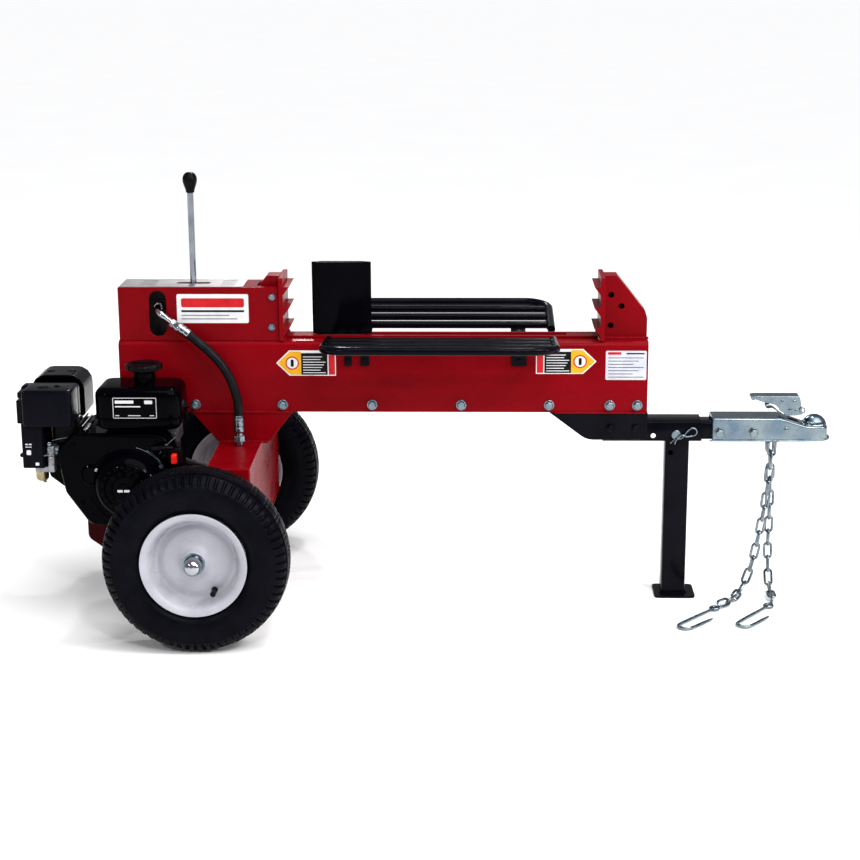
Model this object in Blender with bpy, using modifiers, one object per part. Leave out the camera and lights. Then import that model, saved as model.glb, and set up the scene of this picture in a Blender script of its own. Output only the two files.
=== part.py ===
"""A towable two-way log splitter, modelled in metres with +Z up.

X runs from the rear towards the hitch. While the parts are made, X = 0 is the wheels' axle, Y = 0 is the
beam's middle and Z = 0 is the ground. Everything hangs from one empty, which at the end moves so that the
splitter's box is centred over the origin.
"""

import math

import bmesh
import bpy
from mathutils import Matrix, Vector

GAP = 0.0003  # between solids that touch
AXLE_HEIGHT = 0.206
TRACK = 0.740

BEAM_REAR, BEAM_FRONT = -0.211, 1.002
BEAM_LOW, BEAM_TOP = 0.458, 0.624
BEAM_HALF = 0.062
SHEET = 0.006
RAIL_HALF, RAIL_TOP = 0.024, 0.630
SLOT_HALF = 0.013

WEDGE_REAR, WEDGE_FRONT = 0.231, 0.368
WEDGE_HALF, WEDGE_BEVEL = 0.0095, 0.023
WEDGE_TOP = 0.798
WEDGE_STROKE = 0.461
NECK_REAR, NECK_FRONT = 0.251, 0.348
LUG_REAR, LUG_FRONT = 0.400, 0.440

FOOT_REAR_FACE, FOOT_FRONT_FACE = 0.1695, 0.8915
FOOT_PLATE, FOOT_HALF, FOOT_TOP = 0.010, 0.060, 0.770
TOOTH_HEIGHTS = (0.749, 0.701, 0.654)
TOOTH_REACH, TOOTH_DROP = 0.0145, 0.019

CYLINDER_Z, BARREL_RADIUS, BORE_RADIUS, ROD_RADIUS = 0.548, 0.044, 0.0385, 0.019
BARREL_REAR, BARREL_FRONT, GLAND_FRONT = -0.190, 0.372, 0.396
PISTON_REAR, PISTON_FRONT = -0.150, -0.112

HOUSING_TOP, HOUSING_HALF, HOUSING_SHEET = 0.747, 0.053, 0.003
LEVER_X, LEVER_Z, KNOB_TOP = -0.042, 0.690, 1.0035
WINDOW_REAR, WINDOW_FRONT = -0.1380, -0.0990

TANK_REAR, TANK_FRONT, TANK_LOW, TANK_TOP, TANK_HALF = 0.012, 0.112, 0.176, 0.386, 0.290
TANK_WALL = 0.004
AXLE_HALF = 0.030

TYRE_RADIUS, TYRE_HALF, TYRE_STEPS = 0.206, 0.061, 30
RIM_RADIUS, RIM_STEPS = 0.116, 24
SPINDLE_RADIUS = 0.0125

CRANK_X, CRANK_Z = -0.178, 0.320
MOUNT_TOP, MOUNT_HALF = 0.214, 0.125
CAP_SPOT, CAP_Z = (-0.1405, -0.1350), 0.5690

CHANNEL_HALF, CHANNEL_LOW, CHANNEL_TOP = 0.038, 0.384, 0.431
CHANNEL_REAR, CHANNEL_FRONT = 0.902, 1.132
LEG_X, LEG_HALF_X, LEG_HALF_Y = 1.0775, 0.028, 0.024
LEG_PIN_X, LEG_PIN_Z = 1.0725, 0.400
COUPLER_REAR, BALL_X, BALL_Z = 1.156, 1.396, 0.409
NOSE = 1.432

CRADLE_REAR, CRADLE_FRONT, CRADLE_CORNER = 0.273, 0.785, 0.060
CRADLE_IN, CRADLE_OUT = (0.0963, 0.6310), (0.2865, 0.6500)

REARMOST = -0.427

# Routes of the two chains, from the eye under the coupler down to the ground and along it to the hooks.
CHAIN_RADIUS = 0.011
NEAR_CHAIN_ROUTE = [
    (1.298, -0.017, 0.3780), (1.2975, -0.017, 0.355), (1.295, -0.017, 0.315), (1.290, -0.016, 0.250),
    (1.281, -0.015, 0.180), (1.269, -0.013, 0.108), (1.257, -0.013, 0.058), (1.243, -0.020, 0.0260),
    (1.228, -0.043, 0.0135), (1.211, -0.075, 0.0113), (1.191, -0.100, 0.0113), (1.1745, -0.1125, 0.0113),
]
FAR_CHAIN_ROUTE = [
    (1.298, 0.017, 0.3780), (1.299, 0.0175, 0.350), (1.302, 0.018, 0.290), (1.304, 0.019, 0.200),
    (1.304, 0.020, 0.120), (1.306, 0.018, 0.060), (1.3075, 0.009, 0.0260), (1.3075, -0.015, 0.0135),
    (1.307, -0.045, 0.0113), (1.305, -0.070, 0.0113), (1.3005, -0.0920, 0.0113),
]
# Each hook: the eye's place, the direction of its shank, the shank's length and the gap to its point.
HOOKS = {
    "near_chain_hook": ((1.1715, -0.1155), (-0.66, -0.75), 0.150, 0.036, 0.088),
    "far_chain_hook": ((1.2985, -0.0965), (-0.615, -0.79), 0.150, 0.036, 0.086),
}
HOOK_WIRE = 0.0045

# Route of the hose from the valve's elbow down to the tank.
HOSE_RADIUS = 0.0103
HOSE_ROUTE = [
    (-0.0440, -0.0780, 0.6420), (-0.0290, -0.0830, 0.6310), (-0.0040, -0.0880, 0.6110),
    (0.0200, -0.0905, 0.5870), (0.0400, -0.0920, 0.5590), (0.0540, -0.0930, 0.5280),
    (0.0635, -0.0938, 0.4920), (0.0650, -0.0940, 0.4700), (0.0650, -0.0940, 0.4590),
]

RED = (0.30, 0.006, 0.014)
BLACK = (0.012, 0.012, 0.014)
ZINC = (0.62, 0.66, 0.70)
STEEL = (0.50, 0.51, 0.52)
FINISHES = {  # colour, roughness, metallic
    "red_paint": (RED, 0.35, 0.0),
    "black_paint": (BLACK, 0.40, 0.0),
    "engine_black": ((0.010, 0.010, 0.013), 0.30, 0.0),
    "black_plastic": ((0.014, 0.014, 0.016), 0.45, 0.0),
    "white_paint": ((0.78, 0.78, 0.80), 0.35, 0.0),
    "tyre_rubber": ((0.018, 0.018, 0.022), 0.80, 0.0),
    "hose_rubber": ((0.020, 0.020, 0.022), 0.60, 0.0),
    "zinc_plate": (ZINC, 0.35, 1.0),
    "chrome": ((0.80, 0.80, 0.82), 0.08, 1.0),
    "bare_steel": (STEEL, 0.30, 1.0),
    "cast_iron": ((0.10, 0.10, 0.11), 0.60, 1.0),
    "aluminium": ((0.55, 0.56, 0.58), 0.45, 1.0),
    "brass": ((0.60, 0.42, 0.14), 0.35, 1.0),
    "switch_red": ((0.60, 0.010, 0.010), 0.40, 0.0),
}

X_AXIS = Matrix(((0, 0, 1), (1, 0, 0), (0, 1, 0))).to_4x4()  # a drawing's own Z runs along X
Y_AXIS = Matrix.Rotation(math.radians(90), 4, "X")  # a drawing's own Z runs along -Y
Z_AXIS = Matrix.Identity(4)
AXES = {"x": X_AXIS, "y": Y_AXIS, "z": Z_AXIS}


# ---- the scene, its collections, materials and empties ----

def start_scene():
    for obj in list(bpy.data.objects):
        bpy.data.objects.remove(obj, do_unlink=True)
    for name in ("log_splitter", "cutters"):
        group = bpy.data.collections.new(name)
        bpy.context.scene.collection.children.link(group)


def finish(name):
    """The named material, made the first time it is asked for."""
    if name not in bpy.data.materials:
        colour, roughness, metallic = FINISHES[name]
        made = bpy.data.materials.new(name)
        made.use_nodes = True
        shader = made.node_tree.nodes["Principled BSDF"]
        shader.inputs["Base Color"].default_value = (*colour, 1.0)
        shader.inputs["Roughness"].default_value = roughness
        shader.inputs["Metallic"].default_value = metallic
    return bpy.data.materials[name]


def pivot(name, place, parent=None):
    """An empty on a joint's axis, or the one that everything hangs from."""
    empty = bpy.data.objects.new(name, None)
    empty.empty_display_size = 0.05
    bpy.data.collections["log_splitter"].objects.link(empty)
    empty.location = place
    if parent:
        empty.parent = parent
        empty.matrix_parent_inverse = parent.matrix_world.inverted()
    bpy.context.view_layer.update()
    return empty


def register(obj, name, material, parent):
    """Names a new object, gives it its material, and hangs it on its body's empty."""
    obj.name = name
    obj.data.name = name
    obj.data.materials.clear()
    obj.data.materials.append(finish(material))
    for group in obj.users_collection:
        group.objects.unlink(obj)
    bpy.data.collections["log_splitter"].objects.link(obj)
    obj.parent = parent
    obj.matrix_parent_inverse = parent.matrix_world.inverted()
    return obj


def as_tool(obj):
    """Turns an object into the second operand of a Boolean: kept apart, drawn as wire, not rendered."""
    bpy.data.collections["log_splitter"].objects.unlink(obj)
    bpy.data.collections["cutters"].objects.link(obj)
    obj.display_type = "WIRE"
    obj.hide_render = True
    return obj


def boolean(obj, tool, operation):
    step = obj.modifiers.new(operation.lower(), "BOOLEAN")
    step.operation = operation
    step.solver = "EXACT"
    step.object = as_tool(tool)
    return obj


def cut(obj, *tools):
    for tool in tools:
        boolean(obj, tool, "DIFFERENCE")
    return obj


def join(obj, *tools):
    for tool in tools:
        boolean(obj, tool, "UNION")
    return obj


def bevel(obj, width, segments=1, angle=30):
    step = obj.modifiers.new("bevel", "BEVEL")
    step.width = width
    step.segments = segments
    step.limit_method = "ANGLE"
    step.angle_limit = math.radians(angle)
    return obj


# ---- shapes ----

def object_from(bm, matrix):
    mesh = bpy.data.meshes.new("mesh")
    bm.to_mesh(mesh)
    bm.free()
    obj = bpy.data.objects.new("object", mesh)
    bpy.data.collections["log_splitter"].objects.link(obj)
    obj.matrix_world = matrix
    return obj


def box(name, material, parent, low, high):
    low, high = Vector(low), Vector(high)
    bm = bmesh.new()
    bmesh.ops.create_cube(bm, size=1.0)
    bmesh.ops.scale(bm, vec=high - low, verts=bm.verts)
    return register(object_from(bm, Matrix.Translation((low + high) / 2)), name, material, parent)


def cylinder(name, material, parent, start, end, radius, steps=16, end_radius=None):
    start, end = Vector(start), Vector(end)
    along = end - start
    bm = bmesh.new()
    bmesh.ops.create_cone(
        bm, cap_ends=True, segments=steps, radius1=radius,
        radius2=radius if end_radius is None else end_radius, depth=along.length,
    )
    turn = along.to_track_quat("Z", "Y").to_matrix().to_4x4()
    place = Matrix.Translation((start + end) / 2) @ turn
    return register(object_from(bm, place), name, material, parent)


def ball(name, material, parent, centre, radius, steps=16):
    bm = bmesh.new()
    bmesh.ops.create_uvsphere(bm, u_segments=steps, v_segments=steps // 2, radius=radius)
    return register(object_from(bm, Matrix.Translation(centre)), name, material, parent)


def solid_from_curve(curve_data, matrix):
    """A curve object's solid as a mesh with welded caps."""
    obj = bpy.data.objects.new("curve", curve_data)
    bpy.context.scene.collection.objects.link(obj)
    obj.matrix_world = matrix
    bpy.context.view_layer.update()
    graph = bpy.context.evaluated_depsgraph_get()
    mesh = bpy.data.meshes.new_from_object(obj.evaluated_get(graph))
    bm = bmesh.new()
    bm.from_mesh(mesh)
    bmesh.ops.remove_doubles(bm, verts=bm.verts, dist=0.00001)
    bmesh.ops.recalc_face_normals(bm, faces=bm.faces)
    bpy.data.objects.remove(obj)
    bpy.data.curves.remove(curve_data)
    bpy.data.meshes.remove(mesh)
    return object_from(bm, matrix)


def prism(name, material, parent, axis, outline, low, high):
    """A flat outline with a thickness. It is drawn in (y, z), (x, z) or (x, y) for axis x, y or z."""
    curve = bpy.data.curves.new("outline", "CURVE")
    curve.dimensions = "2D"
    curve.fill_mode = "BOTH"
    curve.extrude = (high - low) / 2
    spline = curve.splines.new("POLY")
    spline.points.add(len(outline) - 1)
    for point, (u, v) in zip(spline.points, outline):
        point.co = (u, v, 0.0, 1.0)
    spline.use_cyclic_u = True
    middle = (low + high) / 2
    place = {"x": (middle, 0, 0), "y": (0, middle, 0), "z": (0, 0, middle)}[axis]
    return register(solid_from_curve(curve, Matrix.Translation(place) @ AXES[axis]), name, material, parent)


def tube(name, material, parent, points, radius, closed=False, resolution=2):
    curve = bpy.data.curves.new("tube", "CURVE")
    curve.dimensions = "3D"
    curve.bevel_depth = radius
    curve.bevel_resolution = resolution
    curve.use_fill_caps = not closed
    spline = curve.splines.new("POLY")
    spline.points.add(len(points) - 1)
    for point, place in zip(spline.points, points):
        point.co = (*place, 1.0)
    spline.use_cyclic_u = closed
    return register(solid_from_curve(curve, Matrix.Identity(4)), name, material, parent)


def turned(name, material, parent, profile, centre, axis="y", steps=24, closed=False):
    """A turned solid. The profile is (radius, height) down the outer side; height runs along the axis."""
    bm = bmesh.new()
    verts = [bm.verts.new((radius, 0.0, height)) for radius, height in profile]
    for a, b in zip(verts, verts[1:] + verts[:1] if closed else verts[1:]):
        bm.edges.new((a, b))
    turn = {
        "x": Matrix.Rotation(math.radians(90), 4, "Y"),
        "y": Matrix.Rotation(math.radians(-90), 4, "X"),
        "z": Matrix.Identity(4),
    }[axis]
    obj = register(object_from(bm, Matrix.Translation(centre) @ turn), name, material, parent)
    step = obj.modifiers.new("screw", "SCREW")
    step.steps = steps
    step.render_steps = steps
    step.use_merge_vertices = True
    step.merge_threshold = 0.0001
    return obj


def rounded(corners, radius, segments=3):
    """A closed outline whose corners are arcs; radius may be a list with one radius for each corner."""
    outline = []
    count = len(corners)
    radii = radius if isinstance(radius, (list, tuple)) else [radius] * count
    for i, size in enumerate(radii):
        here = Vector(corners[i])
        back = (Vector(corners[i - 1]) - here).normalized()
        ahead = (Vector(corners[(i + 1) % count]) - here).normalized()
        if size <= 0:
            outline.append(tuple(here))
            continue
        half = back.angle(ahead) / 2
        start = here + back * (size / math.tan(half))
        end = here + ahead * (size / math.tan(half))
        centre = here + (back + ahead).normalized() * (size / math.sin(half))
        for k in range(segments + 1):
            spoke = (start - centre).lerp(end - centre, k / segments).normalized()
            outline.append(tuple(centre + spoke * size))
    return outline


def rectangle(low, high):
    return [low, (high[0], low[1]), high, (low[0], high[1])]


def smooth_route(points, spacing):
    """Points about a spacing apart on one smooth curve through the given points."""
    places = [Vector(p) for p in points]
    ends = [places[0] * 2 - places[1]] + places + [places[-1] * 2 - places[-2]]
    route = [places[0]]
    for a, b, c, d in zip(ends, ends[1:], ends[2:], ends[3:]):
        pieces = max(1, round((c - b).length / spacing))
        for k in range(1, pieces + 1):
            t = k / pieces
            route.append(0.5 * (
                2 * b + (c - a) * t + (2 * a - 5 * b + 4 * c - d) * t * t
                + (3 * b - a - 3 * c + d) * t * t * t
            ))
    return route


def arc(centre, radius, start, end, segments):
    """Points on an arc in the plane of the two given numbers, from one angle to another in degrees."""
    angles = [math.radians(start + (end - start) * k / segments) for k in range(segments + 1)]
    return [(centre[0] + radius * math.cos(a), centre[1] + radius * math.sin(a)) for a in angles]


# ---- the beam and what slides on it ----

def beam(root):
    half, top = BEAM_HALF - SHEET / 2, BEAM_TOP - SHEET / 2
    corner = 0.009
    path = [(-half, BEAM_LOW)]
    path += arc((-half + corner, top - corner), corner, 180, 90, 3)
    path += arc((half - corner, top - corner), corner, 90, 0, 3)
    path += [(half, BEAM_LOW)]
    bm = bmesh.new()
    rear = [bm.verts.new((BEAM_REAR, y, z)) for y, z in path]
    front = [bm.verts.new((BEAM_FRONT, y, z)) for y, z in path]
    for i in range(len(path) - 1):
        bm.faces.new((rear[i], rear[i + 1], front[i + 1], front[i]))
    shell = register(object_from(bm, Matrix.Identity(4)), "beam_shell", "red_paint", root)
    sheet = shell.modifiers.new("sheet", "SOLIDIFY")
    sheet.thickness = SHEET
    sheet.offset = 0.0
    sheet.use_even_offset = True
    slot_rear, slot_front = NECK_REAR - 0.008, NECK_FRONT + WEDGE_STROKE + 0.008
    slot = rectangle((slot_rear, -SLOT_HALF), (slot_front, SLOT_HALF))
    cut(shell, prism("slot_cutter", "red_paint", root, "z", slot, 0.60, 0.65))
    join(shell, box(
        "rear_end_plate", "red_paint", root,
        (BEAM_REAR + 0.004, -half, 0.462), (BEAM_REAR + 0.010, half, top),
    ))

    rail_ends = rectangle((FOOT_REAR_FACE + GAP, -RAIL_HALF), (FOOT_FRONT_FACE - GAP, RAIL_HALF))
    rail = prism("slide_rail", "red_paint", root, "z", rail_ends, BEAM_TOP + GAP, RAIL_TOP)
    cut(rail, prism("rail_slot_cutter", "red_paint", root, "z", slot, 0.60, 0.65))


def feet(root):
    def foot(name, face, reach):
        """A plate with saw teeth across it; reach is +1 or -1, the way that the teeth point."""
        back = face - reach * FOOT_PLATE
        outline = [(back, BEAM_TOP + GAP), (face, BEAM_TOP + GAP)]
        for tip in reversed(TOOTH_HEIGHTS):
            outline += [(face, tip - TOOTH_DROP), (face + reach * TOOTH_REACH, tip), (face, tip)]
        outline += [(face, FOOT_TOP), (back, FOOT_TOP)]
        plate = prism(name, "red_paint", root, "y", outline, -FOOT_HALF, FOOT_HALF)
        return join(plate, gusset(name + "_gusset", back + reach * FOOT_PLATE / 2, -reach))

    def gusset(name, back, away):
        """A narrow folded box welded behind a foot plate; away is the way that it slopes."""
        outline = [
            (back, BEAM_TOP + 2 * GAP), (back + away * 0.104, BEAM_TOP + 2 * GAP),
            (back + away * 0.104, 0.672), (back + away * 0.099, 0.688),
            (back + away * 0.034, FOOT_TOP - GAP), (back, FOOT_TOP - GAP),
        ]
        inside = [
            (back - away * 0.010, 0.610), (back + away * 0.098, 0.610), (back + away * 0.098, 0.671),
            (back + away * 0.0935, 0.6855), (back + away * 0.031, 0.764), (back - away * 0.010, 0.764),
        ]
        shell = prism(name, "red_paint", root, "y", outline, -RAIL_HALF, RAIL_HALF)
        free = RAIL_HALF - SHEET
        return cut(shell, prism(name + "_inside", "red_paint", root, "y", inside, -free, free))

    foot("rear_foot", FOOT_REAR_FACE, 1)
    front = foot("front_foot", FOOT_FRONT_FACE, -1)
    for number, (x, z) in enumerate(((0.917, 0.725), (0.941, 0.699), (0.917, 0.654))):
        cut(front, cylinder(
            f"gusset_hole_{number}", "red_paint", root, (x, -0.05, z), (x, 0.05, z), 0.0070, 12,
        ))


def wedge_group(slide):
    rear_shoulder, front_shoulder = WEDGE_REAR + WEDGE_BEVEL, WEDGE_FRONT - WEDGE_BEVEL
    plan = [
        (WEDGE_REAR, 0.0), (rear_shoulder, -WEDGE_HALF), (front_shoulder, -WEDGE_HALF),
        (WEDGE_FRONT, 0.0), (front_shoulder, WEDGE_HALF), (rear_shoulder, WEDGE_HALF),
    ]
    prism("wedge", "black_paint", slide, "z", plan, RAIL_TOP + 2 * GAP, WEDGE_TOP)

    carriage = box(
        "wedge_carriage", "bare_steel", slide,
        (0.240, -0.048, 0.5985), (LUG_FRONT, 0.048, BEAM_TOP - SHEET - 2 * GAP),
    )
    neck = box(
        "carriage_neck", "bare_steel", slide,
        (NECK_REAR, -0.010, 0.605), (NECK_FRONT, 0.010, RAIL_TOP + GAP),
    )
    lug = box("carriage_lug", "bare_steel", slide, (LUG_REAR, -0.026, 0.522), (LUG_FRONT, 0.026, 0.605))
    join(carriage, neck, lug)


def cylinder_group(root, slide):
    """The profiles' radii and their places along the beam."""
    centre = (0, 0, CYLINDER_Z)
    bore_end = BARREL_REAR + 0.020
    barrel = [
        (0.0, bore_end), (BORE_RADIUS, bore_end), (BORE_RADIUS, BARREL_FRONT),
        (BARREL_RADIUS, BARREL_FRONT), (BARREL_RADIUS, BARREL_REAR), (0.0, BARREL_REAR),
    ]
    turned("cylinder_barrel", "black_paint", root, barrel, centre, "x", 24)
    hole, rear = ROD_RADIUS + 0.0006, BARREL_FRONT + GAP
    gland = [(hole, GLAND_FRONT), (BARREL_RADIUS, GLAND_FRONT), (BARREL_RADIUS, rear), (hole, rear)]
    turned("cylinder_gland", "bare_steel", root, gland, centre, "x", 24, closed=True)
    seal = BORE_RADIUS - 0.0008
    piston = [(0.0, PISTON_FRONT), (seal, PISTON_FRONT), (seal, PISTON_REAR), (0.0, PISTON_REAR)]
    turned("piston", "cast_iron", slide, piston, centre, "x", 24)
    cylinder(
        "piston_rod", "chrome", slide,
        (PISTON_FRONT + GAP, 0, CYLINDER_Z), (LUG_REAR - GAP, 0, CYLINDER_Z), ROD_RADIUS, 20,
    )


# ---- the valve, its housing and its lever ----

def obround(x_low, x_high, z_low, z_high):
    radius = (x_high - x_low) / 2
    middle = (x_low + x_high) / 2
    low, high = (middle, z_low + radius), (middle, z_high - radius)
    return arc(low, radius, 180, 360, 6) + arc(high, radius, 0, 180, 6)


def valve_group(root, lever, spool):
    front = FOOT_REAR_FACE - FOOT_PLATE - 2 * GAP
    housing = box(
        "valve_housing", "red_paint", root,
        (BEAM_REAR + 0.002, -HOUSING_HALF, BEAM_TOP + GAP), (front, HOUSING_HALF, HOUSING_TOP),
    )
    window = obround(WINDOW_REAR, WINDOW_FRONT, 0.634, 0.739)
    slot = rounded(rectangle((LEVER_X - 0.0385, -0.010), (LEVER_X + 0.0385, 0.010)), 0.009, 3)
    free = HOUSING_HALF - HOUSING_SHEET
    inside = box(
        "housing_inside", "red_paint", root,
        (BEAM_REAR + 0.002 + HOUSING_SHEET, -free, 0.600), (0.200, free, HOUSING_TOP - HOUSING_SHEET),
    )
    cut(
        housing,
        inside,
        prism("window_cutter", "red_paint", root, "y", window, -0.080, 0.080),
        prism("lever_slot_cutter", "red_paint", root, "z", slot, 0.700, 0.800),
        box("gusset_gap_cutter", "red_paint", root, (0.108, -0.0255, 0.720), (0.200, 0.0255, 0.800)),
    )

    body = box("control_valve", "cast_iron", root, (-0.165, -0.020, 0.6285), (-0.062, 0.020, 0.712))
    join(
        body,
        box("valve_bracket", "cast_iron", root, (-0.160, -0.034, BEAM_TOP + GAP), (-0.010, 0.034, 0.630)),
        box("lever_pivot_post", "cast_iron", root, (-0.0495, -0.0205, 0.6280), (-0.0345, -0.0145, 0.698)),
    )
    cut(body, cylinder("spool_bore", "cast_iron", root, (-0.180, 0, 0.668), (-0.050, 0, 0.668), 0.0085, 16))
    cylinder("valve_spool", "chrome", spool, (-0.180, 0, 0.668), (-0.052, 0, 0.668), 0.0078, 16)

    knob_base = KNOB_TOP - 0.047
    rod = cylinder(
        "control_lever", "chrome", lever, (LEVER_X, 0, LEVER_Z + 0.004), (LEVER_X, 0, knob_base), 0.0072,
    )
    join(rod, cylinder(
        "lever_hub", "chrome", lever, (LEVER_X, -0.0138, LEVER_Z), (LEVER_X, 0.0138, LEVER_Z), 0.009,
    ))
    knob = [
        (0.0, 0.047), (0.0085, 0.0455), (0.0140, 0.0400), (0.0165, 0.0320), (0.0160, 0.0240),
        (0.0125, 0.0130), (0.0095, 0.0060), (0.0085, GAP), (0.0, GAP),
    ]
    turned("lever_knob", "black_plastic", lever, knob, (LEVER_X, 0, knob_base), "z", 20)


# ---- cradles ----

def cradle(root, name, side):
    """A bent tube frame with three rods across it; side is -1 for the near side and 1 for the far one."""
    (y_in, z_in), (y_out, z_out) = CRADLE_IN, CRADLE_OUT
    slope = (z_out - z_in) / (y_out - y_in)

    def spot(x, y):
        return (x, side * y, z_in + (y - y_in) * slope)

    start = BEAM_HALF + GAP
    corner = CRADLE_CORNER
    frame = [spot(CRADLE_REAR, start)]
    frame += [spot(x, y) for x, y in arc((CRADLE_REAR + corner, y_out - corner), corner, 180, 90, 5)]
    frame += [spot(x, y) for x, y in arc((CRADLE_FRONT - corner, y_out - corner), corner, 90, 0, 5)]
    frame += [spot(CRADLE_FRONT, start)]
    body = tube(name, "black_paint", root, frame, 0.0095)
    for k in range(3):
        y = y_in + k * (y_out - y_in) / 3
        inset = 0.0
        if y > y_out - corner:
            inset = corner - math.sqrt(corner ** 2 - (y - y_out + corner) ** 2)
        ends = [spot(CRADLE_REAR + inset, y), spot(CRADLE_FRONT - inset, y)]
        join(body, tube(f"{name}_rod_{k}", "black_paint", root, ends, 0.0090, resolution=1))


# ---- tank, axle and wheels ----

def tank_group(root):
    """The tank is notched over the axle, which passes under its rear edge."""
    def section(step, wall):
        above, ahead = AXLE_HEIGHT + AXLE_HALF + step, AXLE_HALF + step
        rear, front, low, top = TANK_REAR + wall, TANK_FRONT - wall, TANK_LOW + wall, TANK_TOP - wall
        return [(rear, top), (rear, above), (ahead, above), (ahead, low), (front, low), (front, top)]

    wall = TANK_WALL
    outline, inside = section(GAP, 0.0), section(wall, wall)
    tank = prism("oil_tank", "red_paint", root, "y", outline, -TANK_HALF, TANK_HALF)
    cut(
        tank,
        prism("tank_inside", "red_paint", root, "y", inside, -TANK_HALF + wall, TANK_HALF - wall),
        cylinder("filler_hole", "red_paint", root, (0.062, 0.200, 0.370), (0.062, 0.200, 0.400), 0.014, 16),
    )
    cap = [
        (0.0, 0.030), (0.022, 0.030), (0.024, 0.027), (0.024, 0.006), (0.020, 0.0045), (0.020, GAP),
        (0.012, GAP), (0.012, -0.012), (0.0, -0.012),
    ]
    turned("tank_breather_cap", "black_plastic", root, cap, (0.062, 0.200, TANK_TOP), "z", 20)

    high, low = BEAM_LOW - GAP, TANK_TOP + GAP
    side_view = [(-0.047, high), (0.187, high), (0.130, low), (TANK_REAR, low)]
    saddle = prism("beam_saddle", "red_paint", root, "y", side_view, -BEAM_HALF, BEAM_HALF)
    hollow = rectangle((-BEAM_HALF + SHEET, 0.392), (BEAM_HALF - SHEET, 0.480))
    cut(saddle, prism("saddle_inside", "red_paint", root, "x", hollow, -0.10, 0.25))

    axle = box(
        "axle_beam", "red_paint", root,
        (-AXLE_HALF, -TANK_HALF, AXLE_HEIGHT - AXLE_HALF), (AXLE_HALF, TANK_HALF, AXLE_HEIGHT + AXLE_HALF),
    )
    tip = TRACK / 2 + 0.058
    ends = (0, -tip, AXLE_HEIGHT), (0, tip, AXLE_HEIGHT)
    join(axle, cylinder("spindles", "bare_steel", root, *ends, SPINDLE_RADIUS, 20))


def wheel(pivot_empty, label, side):
    """A pneumatic tyre on a pressed rim; heights in the profiles run outwards, away from the beam."""
    centre = (0.0, side * TRACK / 2, AXLE_HEIGHT)
    stretch = 1 / math.cos(math.pi / TYRE_STEPS)  # the flats reach the tyre's radius, not the corners
    outer = [
        (0.1165, 0.0490), (0.1300, 0.0580), (0.1520, TYRE_HALF), (0.1780, 0.0580), (0.1965, 0.0460),
        (TYRE_RADIUS, 0.0170),
    ]
    inner = [(0.1900, 0.0360), (0.1700, 0.0490), (0.1080, 0.0420)]
    half = outer + [(r, -h) for r, h in outer[::-1]]
    back = [(r, -h) for r, h in inner[::-1]] + inner
    profile = [(r * stretch, h) for r, h in half + back]
    turned(f"{label}_tyre", "tyre_rubber", pivot_empty, profile, centre, "y", TYRE_STEPS, closed=True)

    rim = [
        (RIM_RADIUS, 0.0530), (0.1020, 0.0460), (0.0930, 0.0220), (0.0930, -0.0220),
        (0.1020, -0.0460), (RIM_RADIUS, -0.0530), (RIM_RADIUS, -0.0560), (0.0985, -0.0480),
        (0.0895, -0.0230), (0.0895, 0.0060),
        (0.0640, 0.0150), (0.0215, 0.0190), (0.0215, -0.0440), (0.0134, -0.0440), (0.0134, 0.0440),
        (0.0215, 0.0440), (0.0215, 0.0235), (0.0660, 0.0195), (0.0895, 0.0120), (0.0985, 0.0480),
        (RIM_RADIUS, 0.0560),
    ]
    rim = [(r, side * h) for r, h in rim][::side]
    turned(f"{label}_rim", "white_paint", pivot_empty, rim, centre, "y", RIM_STEPS, closed=True)
    cap = [
        (0.0, 0.0810), (0.0080, 0.0800), (0.0150, 0.0760), (0.0190, 0.0690), (0.0200, 0.0600),
        (0.0210, 0.0446), (0.0180, 0.0446), (0.0180, 0.0660), (0.0, 0.0700),
    ]
    cap = [(r, side * h) for r, h in cap][::side]
    turned(f"{label}_hub_cap", "chrome", pivot_empty, cap, centre, "y", 20)


# ---- engine and pump ----

def engine_mount(root):
    rear, front = -0.289, -AXLE_HALF - GAP
    outline = rounded([
        (rear, MOUNT_TOP), (rear, 0.172), (-0.258, 0.150), (front, 0.150), (front, MOUNT_TOP),
    ], [0.0, 0.020, 0.010, 0.0, 0.0], 4)
    tray = prism("engine_mount", "red_paint", root, "y", outline, -MOUNT_HALF, MOUNT_HALF)
    free = MOUNT_HALF - 0.005
    cut(tray, box("tray_inside", "red_paint", root, (-0.400, -free, 0.100), (0.100, free, 0.208)))


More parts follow.
